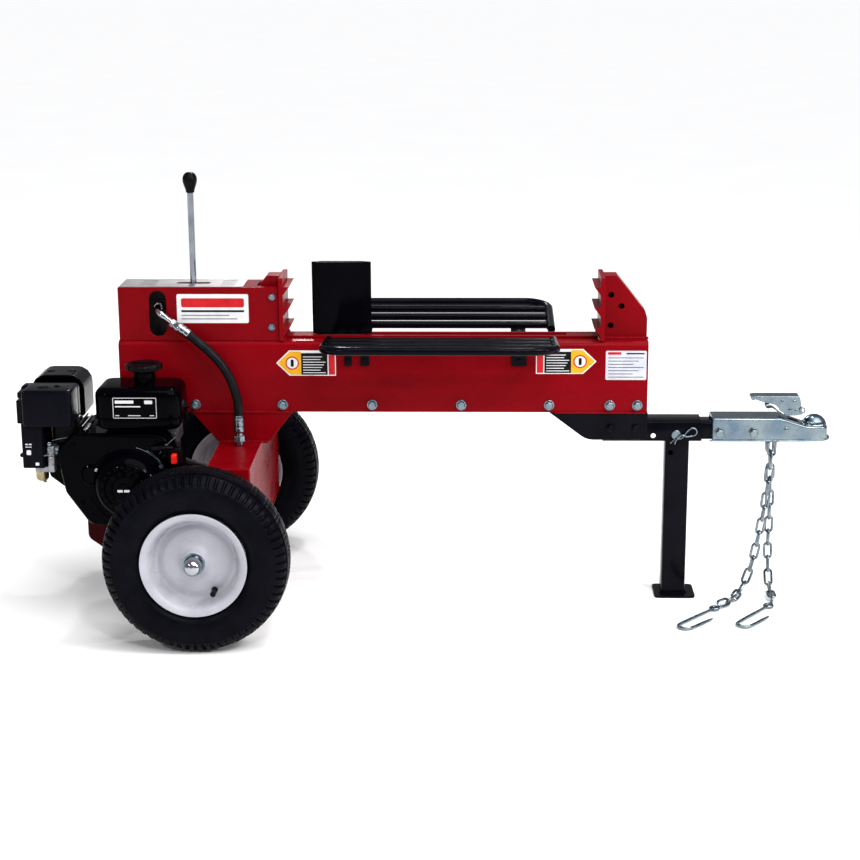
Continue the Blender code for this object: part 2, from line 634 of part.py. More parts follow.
def engine_group(root, crank):
    def about_crank(name, material, start, end, radius, steps):
        ends = (CRANK_X, start, CRANK_Z), (CRANK_X, end, CRANK_Z)
        return cylinder(name, material, root, *ends, radius, steps)

    block = prism("engine_block", "aluminium", root, "y", rounded([
        (-0.268, MOUNT_TOP + GAP), (-0.095, MOUNT_TOP + GAP), (-0.082, 0.300), (-0.110, 0.420),
        (-0.250, 0.438), (-0.385, 0.405), (-0.372, 0.318), (-0.300, 0.262),
    ], 0.012, 2), -0.118, 0.030)
    cut(block, about_crank("crank_bore", "aluminium", -0.180, 0.060, 0.0145, 16))
    shaft = [
        (0.0, 0.098), (0.0200, 0.098), (0.0200, 0.050), (0.0125, 0.047), (0.0125, -0.1240),
        (0.0700, -0.1260), (0.0700, -0.1460), (0.0, -0.1460),
    ]
    turned("crankshaft", "bare_steel", crank, shaft, (CRANK_X, 0, CRANK_Z), "y", 20)

    shroud = prism("blower_housing", "engine_black", root, "y", rounded([
        (-0.268, 0.222), (-0.150, 0.216), (-0.062, 0.262), (-0.052, 0.370), (-0.095, 0.436),
        (-0.300, 0.440), (-0.340, 0.400), (-0.322, 0.300),
    ], [0.03, 0.05, 0.05, 0.05, 0.03, 0.03, 0.03, 0.03], 3), -0.190, -0.1185)
    cut(
        shroud,
        about_crank("shroud_inside", "engine_black", -0.180, -0.100, 0.080, 20),
        about_crank("shroud_mouth", "engine_black", -0.220, -0.170, 0.060, 20),
    )
    cover = [
        (0.076, 0.0), (0.076, -0.014), (0.066, -0.034), (0.040, -0.044), (0.0, -0.046), (0.0, -0.041),
        (0.038, -0.039), (0.061, -0.030), (0.070, -0.012), (0.070, 0.0),
    ]
    centre = (CRANK_X, -0.190 - GAP, CRANK_Z)
    turned("recoil_starter", "engine_black", root, cover, centre, "y", 24, closed=True)


def engine_tops(root, cap, throttle, switch, pull):
    plan = rounded(rectangle((-0.2480, -0.2050), (-0.0500, -0.0680)), 0.030, 4)
    tank = prism("fuel_tank", "engine_black", root, "z", plan, 0.4480, 0.5450)
    bevel(tank, 0.018, 2, 40)
    neck = (*CAP_SPOT, 0.5300), (*CAP_SPOT, CAP_Z)
    join(tank, cylinder("filler_neck", "engine_black", root, *neck, 0.0320, 20))
    cap_profile = [
        (0.0, 0.0220), (0.0380, 0.0220), (0.0425, 0.0180), (0.0425, 0.0060), (0.0350, 0.0030),
        (0.0350, GAP), (0.0, GAP),
    ]
    turned("fuel_cap", "black_plastic", cap, cap_profile, (*CAP_SPOT, CAP_Z), "z", 24)

    cleaner = prism("air_cleaner", "engine_black", root, "y", rounded([
        (-0.427, 0.4540), (-0.296, 0.4540), (-0.296, 0.531), (-0.308, 0.540), (-0.414, 0.540),
        (-0.427, 0.526),
    ], 0.007, 2), -0.200, -0.100)
    elbow = (-0.416, -0.190, 0.357), (-0.362, -0.130, 0.460)
    join(cleaner, box("cleaner_elbow", "engine_black", root, *elbow))
    carb = box("carburettor", "aluminium", root, (-0.3610, -0.180, 0.345), (-0.3450, -0.140, 0.4062))
    deck = box("bowl_deck", "aluminium", root, (-0.3920, -0.175, 0.345), (-0.3500, -0.145, 0.3566))
    bowl = (-0.379, -0.160, 0.3220), (-0.379, -0.160, 0.3500)
    join(carb, deck, cylinder("float_bowl", "brass", root, *bowl, 0.0145, 16))

    guard = prism("muffler_guard", "black_paint", root, "y", rounded([
        (-0.422, 0.440), (-0.299, 0.440), (-0.299, 0.540), (-0.422, 0.540),
    ], [0.012, 0.012, 0.034, 0.034], 4), -0.042, 0.056)
    cut(guard, prism("guard_inside", "black_paint", root, "y", rounded([
        (-0.417, 0.400), (-0.304, 0.400), (-0.304, 0.535), (-0.417, 0.535),
    ], [0.0, 0.0, 0.029, 0.029], 4), -0.070, 0.051))
    muffler = prism("muffler", "bare_steel", root, "y", rounded(
        rectangle((-0.404, 0.4480), (-0.314, 0.524)), 0.026, 4), -0.034, 0.043)
    flange = (-0.356, 0.000, 0.4380 + GAP), (-0.332, 0.028, 0.460)
    join(muffler, box("exhaust_flange", "bare_steel", root, *flange))

    box("throttle_lever", "bare_steel", throttle, (-0.276, -0.180, 0.4440), (-0.268, -0.126, 0.4475))
    box("engine_switch", "switch_red", switch, (-0.0760, -0.2060, 0.3720), (-0.0640, -0.1905, 0.3940))
    grip = rounded(rectangle((-0.118, 0.402), (-0.070, 0.416)), 0.006, 2)
    prism("recoil_handle", "black_plastic", pull, "y", grip, -0.212, -0.198)


def pump_group(root):
    lantern = [(0.046, 0.105), (0.046, 0.030 + GAP), (0.030, 0.030 + GAP), (0.030, 0.105)]
    turned("pump_bracket", "cast_iron", root, lantern, (CRANK_X, 0, CRANK_Z), "y", 24, closed=True)
    low, high = (CRANK_X - 0.040, 0.105 + GAP, 0.268), (CRANK_X + 0.040, 0.200, 0.372)
    bevel(box("gear_pump", "cast_iron", root, low, high), 0.012, 2)


def hoses(root):
    hose = smooth_route(HOSE_ROUTE, 0.020)
    tube("return_hose", "hose_rubber", root, hose, HOSE_RADIUS)
    start, ahead = Vector(HOSE_ROUTE[0]), (hose[0] - hose[1]).normalized()
    sleeve_end = start + ahead * GAP
    sleeve_start = start + ahead * 0.042
    upper = cylinder("upper_hose_fitting", "zinc_plate", root, sleeve_end, sleeve_start, 0.0118, 16)
    elbow = smooth_route([
        sleeve_start - ahead * 0.004, sleeve_start + ahead * 0.010, (-0.1060, -0.0700, 0.6870),
        (-0.1180, -0.0560, 0.6960), (-0.1200, -0.0400, 0.6980), (-0.1200, -0.0203, 0.6980),
    ], 0.008)
    join(upper, tube("elbow", "zinc_plate", root, elbow, 0.0080))
    x, y, z = HOSE_ROUTE[-1]
    fitting = [
        (0.0, 0.072), (0.0118, 0.072), (0.0118, 0.034), (0.0085, 0.031), (0.0085, 0.026), (0.0135, 0.025),
        (0.0135, 0.010), (0.0105, 0.009), (0.0105, 0.0), (0.0, 0.0),
    ]
    turned("lower_hose_fitting", "zinc_plate", root, fitting, (x, y, TANK_TOP + GAP), "z", 16)

    pressure = smooth_route([
        (-0.178, 0.150, 0.3725), (-0.178, 0.150, 0.420), (-0.172, 0.146, 0.500), (-0.160, 0.125, 0.580),
        (-0.140, 0.100, 0.650), (-0.120, 0.065, 0.684), (-0.1150, 0.040, 0.690), (-0.1150, 0.0210, 0.690),
    ], 0.020)
    tube("pressure_hose", "hose_rubber", root, pressure, 0.0090)
    suction = smooth_route([
        (-0.1370, 0.128, 0.288), (-0.115, 0.128, 0.287), (-0.070, 0.128, 0.273), (-0.020, 0.128, 0.259),
        (0.0110, 0.128, 0.256),
    ], 0.020)
    tube("suction_hose", "hose_rubber", root, suction, 0.0125)


# ---- hitch, leg and chains ----

def hitch_group(root, leg, latch, clamp):
    low = 0.392
    bracket = prism("tongue_bracket", "black_paint", root, "y", rounded([
        (0.777, BEAM_LOW - GAP), (0.864, low), (1.004, low), (1.004, BEAM_LOW - GAP),
    ], [0.0, 0.050, 0.0, 0.0], 4), -BEAM_HALF + 0.002, BEAM_HALF - 0.002)
    free, fit = BEAM_HALF - 0.008, CHANNEL_HALF + GAP
    cut(
        bracket,
        box("bracket_inside", "black_paint", root, (0.700, -free, 0.3800), (0.995, free, 0.4700)),
        box("channel_way", "black_paint", root, (0.890, -fit, 0.370), (1.020, fit, CHANNEL_TOP + GAP)),
    )
    outside = rounded([
        (-CHANNEL_HALF, CHANNEL_LOW), (CHANNEL_HALF, CHANNEL_LOW), (CHANNEL_HALF, CHANNEL_TOP),
        (-CHANNEL_HALF, CHANNEL_TOP),
    ], [0.0, 0.0, 0.007, 0.007], 2)
    channel = prism("tongue_channel", "black_paint", root, "x", outside, CHANNEL_REAR, CHANNEL_FRONT)
    free, roof = CHANNEL_HALF - 0.005, CHANNEL_TOP - 0.004
    pin_line = (LEG_PIN_X, -0.06, LEG_PIN_Z), (LEG_PIN_X, 0.06, LEG_PIN_Z)
    lock_line = (1.020, -0.06, 0.396), (1.020, 0.06, 0.396)
    cut(
        channel,
        box("channel_inside", "black_paint", root, (0.880, -free, 0.370), (1.1130, free, roof)),
        cylinder("pin_hole", "black_paint", root, *pin_line, 0.0068, 16),
        cylinder("lock_hole", "black_paint", root, *lock_line, 0.0060, 12),
    )
    bar = prism("drawbar", "black_paint", root, "x", rounded(
        rectangle((-0.031, 0.3855), (0.031, 0.4265)), 0.005, 2), CHANNEL_FRONT + GAP, 1.318)
    join(bar, box("chain_plate", "black_paint", root, (1.283, -0.0300, 0.3790), (1.311, 0.0300, 0.3900)))

    def across_leg(wall):
        x, y = LEG_HALF_X - wall, LEG_HALF_Y - wall
        return rectangle((LEG_X - x, -y), (LEG_X + x, y))

    plate = rounded(rectangle((LEG_X - 0.045, -0.044), (LEG_X + 0.051, 0.044)), 0.009, 2)
    post = prism("support_leg", "black_paint", leg, "z", rounded(across_leg(0.0), 0.005, 2), 0.0045, 0.410)
    join(post, prism("leg_foot", "black_paint", leg, "z", plate, 0.0, 0.006))
    cut(
        post,
        prism("leg_bore", "black_paint", leg, "z", across_leg(0.003), 0.0065, 0.500),
        cylinder("leg_pin_way", "black_paint", leg, *pin_line, 0.0068, 16),
        cylinder("leg_lock_way", "black_paint", leg, (1.0625, -0.06, 0.352), (1.0625, 0.06, 0.352), 0.0060, 12),
    )

    pin = [
        (0.0, 0.046), (0.0062, 0.045), (0.0062, -0.0384), (0.0100, -0.0384), (0.0100, -0.0440),
        (0.0, -0.0450),
    ]
    turned("leg_pin", "zinc_plate", root, pin, (LEG_PIN_X, 0, LEG_PIN_Z), "y", 16)
    coupler(root)
    handle = prism("coupler_latch", "zinc_plate", latch, "y", [
        (1.251, 0.4880), (1.362, 0.4880), (1.364, 0.4430), (1.334, 0.4430), (1.318, 0.4660),
        (1.262, 0.4780),
    ], -0.018, 0.018)
    under = (1.200, -0.0155, 0.430), (1.3585, 0.0155, 0.4850)
    cut(handle, box("latch_inside", "zinc_plate", latch, *under))
    box("ball_clamp", "zinc_plate", clamp, (1.3385, -0.012, 0.3935), (1.3680, 0.012, 0.3985))


def coupler(root):
    top = 0.4375
    plan = [
        (COUPLER_REAR, -0.0360), (1.340, -0.0360), (1.382, -0.0330),
        *arc((BALL_X, 0.0), NOSE - BALL_X, -75, 75, 8),
        (1.382, 0.0330), (1.340, 0.0360), (COUPLER_REAR, 0.0360),
    ]
    body = prism("coupler_body", "zinc_plate", root, "z", plan, 0.3835, top)
    brow = prism("nose_brow", "zinc_plate", root, "y", [
        (1.4235, 0.3885), (1.4600, 0.3885), (1.4600, 0.4600), (1.3120, 0.4600), (1.3120, 0.4378),
        (1.3720, 0.4180), (1.4235, 0.4160),
    ], -0.060, 0.060)
    dome = ball("ball_dome", "zinc_plate", root, (BALL_X, 0, BALL_Z + 0.001), 0.0300, 20)
    cut(body, brow)
    join(body, dome)
    centre = (BALL_X, 0, BALL_Z - 0.001)
    socket = ball("ball_socket", "zinc_plate", root, centre, 0.0262, 20)
    mouth = cylinder("socket_mouth", "zinc_plate", root, (BALL_X, 0, 0.360), centre, 0.0266, 24)
    hollow = prism("coupler_inside", "zinc_plate", root, "y", [
        (1.100, 0.360), (1.361, 0.360), (1.361, 0.4165), (1.310, 0.4335), (1.100, 0.4335),
    ], -0.0315, 0.0315)
    clamp_way = box("clamp_way", "zinc_plate", root, (1.328, -0.0130, 0.360), (1.380, 0.0130, 0.4030))
    window = box("latch_window", "zinc_plate", root, (1.335, -0.010, 0.400), (1.358, 0.010, 0.460))
    cut(body, hollow, mouth, socket, clamp_way, window)


def chains(root):
    for name, route in (("near_chain", NEAR_CHAIN_ROUTE), ("far_chain", FAR_CHAIN_ROUTE)):
        tube(name, "zinc_plate", root, smooth_route(route, 0.030), CHAIN_RADIUS)
    for name, (eye, way, shank, gap, back) in HOOKS.items():
        way = Vector(way).normalized()
        across = Vector((-way.y, way.x))
        bend = Vector(eye) + way * shank
        path = [Vector(eye) + way * 0.002, bend]
        for k in range(1, 6):
            turn = math.pi * k / 6
            path.append(bend + across * gap / 2 * (1 - math.cos(turn)) + way * gap / 2 * math.sin(turn))
        path += [bend + across * gap, bend + across * gap - way * back]
        route = [(p.x, p.y, HOOK_WIRE + 0.0003) for p in path]
        tube(name, "zinc_plate", root, route, HOOK_WIRE)


def main():
    start_scene()
    root = pivot("splitter", (0, 0, 0))
    slide = pivot("wedge_slide", (WEDGE_REAR, 0, CYLINDER_Z), root)
    lever = pivot("lever_pivot", (LEVER_X, 0, LEVER_Z), root)
    spool = pivot("spool_slide", (-0.116, 0, 0.668), root)
    leg = pivot("leg_pivot", (LEG_PIN_X, 0, LEG_PIN_Z), root)
    crank = pivot("crank_axis", (CRANK_X, 0, CRANK_Z), root)
    cap = pivot("fuel_cap_axis", (*CAP_SPOT, CAP_Z), root)
    throttle = pivot("throttle_pivot", (-0.272, -0.130, 0.446), root)
    switch = pivot("switch_pivot", (-0.070, -0.1905, 0.383), root)
    pull = pivot("recoil_pull", (-0.094, -0.205, 0.409), root)
    latch = pivot("latch_pivot", (1.350, 0, 0.455), root)
    clamp = pivot("clamp_slide", (1.353, 0, 0.396), root)

    beam(root)
    feet(root)
    wedge_group(slide)
    cylinder_group(root, slide)
    valve_group(root, lever, spool)
    cradle(root, "near_cradle", -1)
    cradle(root, "far_cradle", 1)
    tank_group(root)
    for label, side in (("near", -1), ("far", 1)):
        hub = pivot(f"{label}_wheel_axis", (0, side * TRACK / 2, AXLE_HEIGHT), root)
        wheel(hub, label, side)
    engine_mount(root)
    engine_group(root, crank)
    engine_tops(root, cap, throttle, switch, pull)
    pump_group(root)
    hoses(root)
    hitch_group(root, leg, latch, clamp)
    chains(root)
    root.location.x = -(REARMOST + NOSE) / 2


main()
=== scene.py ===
"""The look of a towable two-way log splitter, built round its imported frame. Metres, +Z up.

Shapes are drawn in layout metres: X = 0 is the wheels' axle and X grows towards the hitch, Y = 0 is the
beam's middle, the viewer is on the -Y side, and Z = 0 is the ground. show() moves them into the frame.
"""

import functools
import math

import bmesh
import bpy
from mathutils import Matrix, Quaternion, Vector


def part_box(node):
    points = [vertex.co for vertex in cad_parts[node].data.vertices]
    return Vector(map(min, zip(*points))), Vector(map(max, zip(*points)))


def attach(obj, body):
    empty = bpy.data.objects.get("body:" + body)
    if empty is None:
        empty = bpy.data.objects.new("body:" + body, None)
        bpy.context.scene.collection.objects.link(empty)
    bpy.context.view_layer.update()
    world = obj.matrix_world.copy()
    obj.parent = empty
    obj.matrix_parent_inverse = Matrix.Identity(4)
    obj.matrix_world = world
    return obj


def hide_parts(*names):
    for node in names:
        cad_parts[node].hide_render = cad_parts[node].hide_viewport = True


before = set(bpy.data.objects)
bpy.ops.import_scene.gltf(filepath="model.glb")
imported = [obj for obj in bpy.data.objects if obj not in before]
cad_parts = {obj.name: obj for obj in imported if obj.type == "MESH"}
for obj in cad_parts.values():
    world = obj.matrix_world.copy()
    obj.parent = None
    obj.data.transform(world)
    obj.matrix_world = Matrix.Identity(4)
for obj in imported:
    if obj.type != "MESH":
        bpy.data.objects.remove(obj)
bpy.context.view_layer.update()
AXLE_X = sum(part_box("near_tyre"), Vector()).x / 2
X, Y, Z = Vector((1, 0, 0)), Vector((0, 1, 0)), Vector((0, 0, 1))
SIDES = {"near": -1, "far": 1}


def at(x, y, z):
    """A layout point in the frame."""
    return Vector((AXLE_X + x, y, z))


# ---- camera ----

def make_camera():
    pitch, heading, roll = 0.2577, -0.0275, -0.0048  # downwards, towards -X, about the line of sight
    ahead = Vector((
        math.sin(heading) * math.cos(pitch), math.cos(heading) * math.cos(pitch), -math.sin(pitch),
    ))
    right = ahead.cross(Z).normalized()
    up = right.cross(ahead)
    right, up = (
        math.cos(roll) * right + math.sin(roll) * up,
        -math.sin(roll) * right + math.cos(roll) * up,
    )
    data = bpy.data.cameras.new("camera")
    data.lens, data.sensor_width = 78.0, 36.0
    camera = bpy.data.objects.new("camera", data)
    place = at(0.61754, -4.2219, 1.51224)
    turned = Matrix((right, up, -ahead)).transposed().to_4x4()
    camera.matrix_world = Matrix.Translation(place) @ turned
    bpy.context.scene.collection.objects.link(camera)
    bpy.context.scene.camera = camera


# ---- finishes ----

MICROMETRE = 0.000001
FINISHES = {
    # two shades, the mottle's scale, roughness from and to, metallic, specular level,
    # and the fine texture's scale and its depth in micrometres
    "red_paint": ((0.142, 0.0005, 0.0024), (0.192, 0.0008, 0.0042), 5, 0.22, 0.36, 0, 0.042, 500, 15),
    # a darker copy of the red paint: painted shade for red parts that sit in shadow
    "red_paint_painted_shade": ((0.03, 0.0004, 0.0012), (0.044, 0.0006, 0.002), 7, 0.24, 0.36, 0, 0.03, 500, 15),
    "black_paint": ((0.001, 0.001, 0.0024), (0.0024, 0.0024, 0.005), 16, 0.11, 0.22, 0, 0.052, 800, 30),
    "wedge_paint": ((0.0006, 0.0005, 0.0011), (0.0014, 0.0012, 0.0026), 12, 0.1, 0.22, 0, 0.03, 500, 20),
    "engine_black": ((0.0003, 0.0003, 0.0007), (0.0009, 0.0008, 0.0018), 14, 0.04, 0.11, 0, 0.024, 700, 10),
    "cleaner_black": ((0.0014, 0.0014, 0.0036), (0.0028, 0.0028, 0.0062), 18, 0.14, 0.26, 0, 0.045, 900, 20),
    "black_plastic": ((0.001, 0.001, 0.0014), (0.0028, 0.0028, 0.0036), 30, 0.26, 0.42, 0, 0.07, 1600, 50),
    "white_paint": ((0.35, 0.35, 0.395), (0.445, 0.445, 0.49), 9, 0.18, 0.32, 0, 0.3, 600, 20),
    "tyre_rubber": ((0.0006, 0.0007, 0.002), (0.0022, 0.0023, 0.0048), 26, 0.3, 0.5, 0, 0.045, 900, 100),
    "hose_rubber": ((0.002, 0.002, 0.0028), (0.006, 0.006, 0.0074), 60, 0.3, 0.46, 0, 0.1, 1400, 80),
    "zinc_plate": ((0.125, 0.178, 0.23), (0.23, 0.275, 0.295), 22, 0.18, 0.32, 1, 0.5, 900, 30),
    "chain_zinc": ((0.09, 0.12, 0.15), (0.24, 0.28, 0.3), 90, 0.16, 0.3, 1, 0.5, 900, 30),
    # a darker copy of the chrome: painted shade for the lever's darker reflections
    "lever_chrome_painted_shade": ((0.22, 0.24, 0.29), (0.36, 0.38, 0.42), 26, 0.05, 0.12, 1, 0.5, 500, 10),
    "chrome": ((0.29, 0.31, 0.35), (0.43, 0.44, 0.46), 30, 0.04, 0.12, 1, 0.5, 500, 10),
    "bare_steel": ((0.26, 0.26, 0.27), (0.38, 0.38, 0.39), 40, 0.24, 0.42, 1, 0.5, 1200, 40),
    "cast_iron": ((0.006, 0.006, 0.007), (0.016, 0.016, 0.018), 60, 0.5, 0.7, 0.5, 0.2, 900, 150),
    "aluminium": ((0.25, 0.26, 0.28), (0.34, 0.35, 0.37), 24, 0.4, 0.56, 1, 0.5, 1300, 120),
    "housing_plate": ((0.31, 0.29, 0.3), (0.4, 0.38, 0.39), 16, 0.34, 0.48, 0.8, 0.5, 900, 30),
    "brass": ((0.24, 0.19, 0.1), (0.42, 0.35, 0.22), 60, 0.24, 0.4, 1, 0.5, 900, 40),
    "switch_red": ((0.62, 0.006, 0.004), (0.86, 0.016, 0.01), 90, 0.26, 0.4, 0, 0.3, 1200, 30),
    "floor": ((0.955, 0.955, 0.96), (0.97, 0.97, 0.975), 1.5, 0.85, 0.95, 0, 0.1, 30, 10),
}
for ink, dark, light, specular in (
    ("white", (0.62, 0.62, 0.64), (0.72, 0.72, 0.73), 0.2),
    ("grey", (0.2, 0.2, 0.21), (0.28, 0.28, 0.29), 0.2),
    ("yellow", (0.62, 0.3, 0.006), (0.72, 0.37, 0.012), 0.2),
    ("black", (0.002, 0.002, 0.002), (0.005, 0.005, 0.005), 0.1),
    ("red", (0.42, 0.004, 0.008), (0.54, 0.01, 0.014), 0.2),
    ("lilac", (0.46, 0.47, 0.54), (0.56, 0.57, 0.63), 0.2),
):
    FINISHES["print_" + ink] = (dark, light, 40, 0.36, 0.5, 0, specular, 900, 10)


@functools.cache
def finish(name):
    """A painted, moulded or metal surface: two mottled shades, uneven roughness and a fine texture."""
    dark, light, mottle, smooth_to, rough_to, metallic, specular, grain, depth = FINISHES[name]
    made = bpy.data.materials.new(name)
    made.use_nodes = True
    nodes, links = made.node_tree.nodes, made.node_tree.links
    shader = nodes["Principled BSDF"]
    shader.inputs["Metallic"].default_value = metallic
    shader.inputs["Specular IOR Level"].default_value = specular
    place = nodes.new("ShaderNodeTexCoord").outputs["Object"]

    def noise(scale, detail):
        node = nodes.new("ShaderNodeTexNoise")
        node.inputs["Scale"].default_value = scale
        node.inputs["Detail"].default_value = detail
        links.new(place, node.inputs["Vector"])
        return node.outputs["Fac"]

    ramp = nodes.new("ShaderNodeValToRGB")
    ramp.color_ramp.elements[0].position, ramp.color_ramp.elements[1].position = 0.32, 0.68
    ramp.color_ramp.elements[0].color = (*dark, 1.0)
    ramp.color_ramp.elements[1].color = (*light, 1.0)
    links.new(noise(mottle, 5), ramp.inputs["Fac"])
    links.new(ramp.outputs["Color"], shader.inputs["Base Color"])

    spread = nodes.new("ShaderNodeMapRange")
    spread.inputs["From Min"].default_value, spread.inputs["From Max"].default_value = 0.3, 0.7
    spread.inputs["To Min"].default_value = smooth_to
    spread.inputs["To Max"].default_value = rough_to
    links.new(noise(mottle * 2.7, 4), spread.inputs["Value"])
    links.new(spread.outputs["Result"], shader.inputs["Roughness"])

    bump = nodes.new("ShaderNodeBump")
    bump.inputs["Distance"].default_value = depth * MICROMETRE
    bump.inputs["Strength"].default_value = 1.0
    links.new(noise(grain, 3), bump.inputs["Height"])
    links.new(bump.outputs["Normal"], shader.inputs["Normal"])
    return made


# ---- outlines and routes ----

def arc(centre, radius, start, end, segments):
    angles = [math.radians(start + (end - start) * k / segments) for k in range(segments + 1)]
    return [(centre[0] + radius * math.cos(a), centre[1] + radius * math.sin(a)) for a in angles]


def circle(radius, count, centre=(0, 0)):
    return arc(centre, radius, 0, 360 - 360 / count, count - 1)


def rectangle(low, high):
    return [low, (high[0], low[1]), high, (low[0], high[1])]


def rounded(corners, radius, segments=5):
    """A closed outline whose corners are arcs."""
    outline = []
    for i, corner in enumerate(corners):
        here = Vector(corner)
        back = (Vector(corners[i - 1]) - here).normalized()
        ahead = (Vector(corners[(i + 1) % len(corners)]) - here).normalized()
        half = back.angle(ahead) / 2
        start = here + back * (radius / math.tan(half))
        end = here + ahead * (radius / math.tan(half))
        centre = here + (back + ahead).normalized() * (radius / math.sin(half))
        for k in range(segments + 1):
            spoke = (start - centre).lerp(end - centre, k / segments).normalized()
            outline.append(tuple(centre + spoke * radius))
    return outline


def smooth(points, spacing):
    """Points about a spacing apart on one smooth curve through the given points."""
    places = [Vector(p) for p in points]
    ends = [places[0] * 2 - places[1]] + places + [places[-1] * 2 - places[-2]]
    route = [places[0]]
    for a, b, c, d in zip(ends, ends[1:], ends[2:], ends[3:]):
        pieces = max(1, round((c - b).length / spacing))
        for k in range(1, pieces + 1):
            t = k / pieces
            route.append(0.5 * (
                2 * b + (c - a) * t + (2 * a - 5 * b + 4 * c - d) * t * t
                + (3 * b - a - 3 * c + d) * t * t * t
            ))
    return route


def length_of(route):
    return sum((b - a).length for a, b in zip(route, route[1:]))


def frames(route, closed=False):
    """For each point of a route, its direction and a side direction that turns as little as it can."""
    count = len(route)
    found = []
    side = None
    for i in range(count):
        if closed:
            ahead = (route[(i + 1) % count] - route[i - 1]).normalized()
        else:
            ahead = (route[min(i + 1, count - 1)] - route[max(i - 1, 0)]).normalized()
        if side is None:
            side = ahead.orthogonal().normalized()
        side = (side - ahead * side.dot(ahead)).normalized()
        found.append((ahead, side))
    return found


# ---- solids ----

def directions(axis):
    """The directions that a drawing's first, second and third numbers run in."""
    return {"x": (Y, Z, X), "y": (X, Z, Y), "z": (X, Y, Z)}[axis] if isinstance(axis, str) else axis


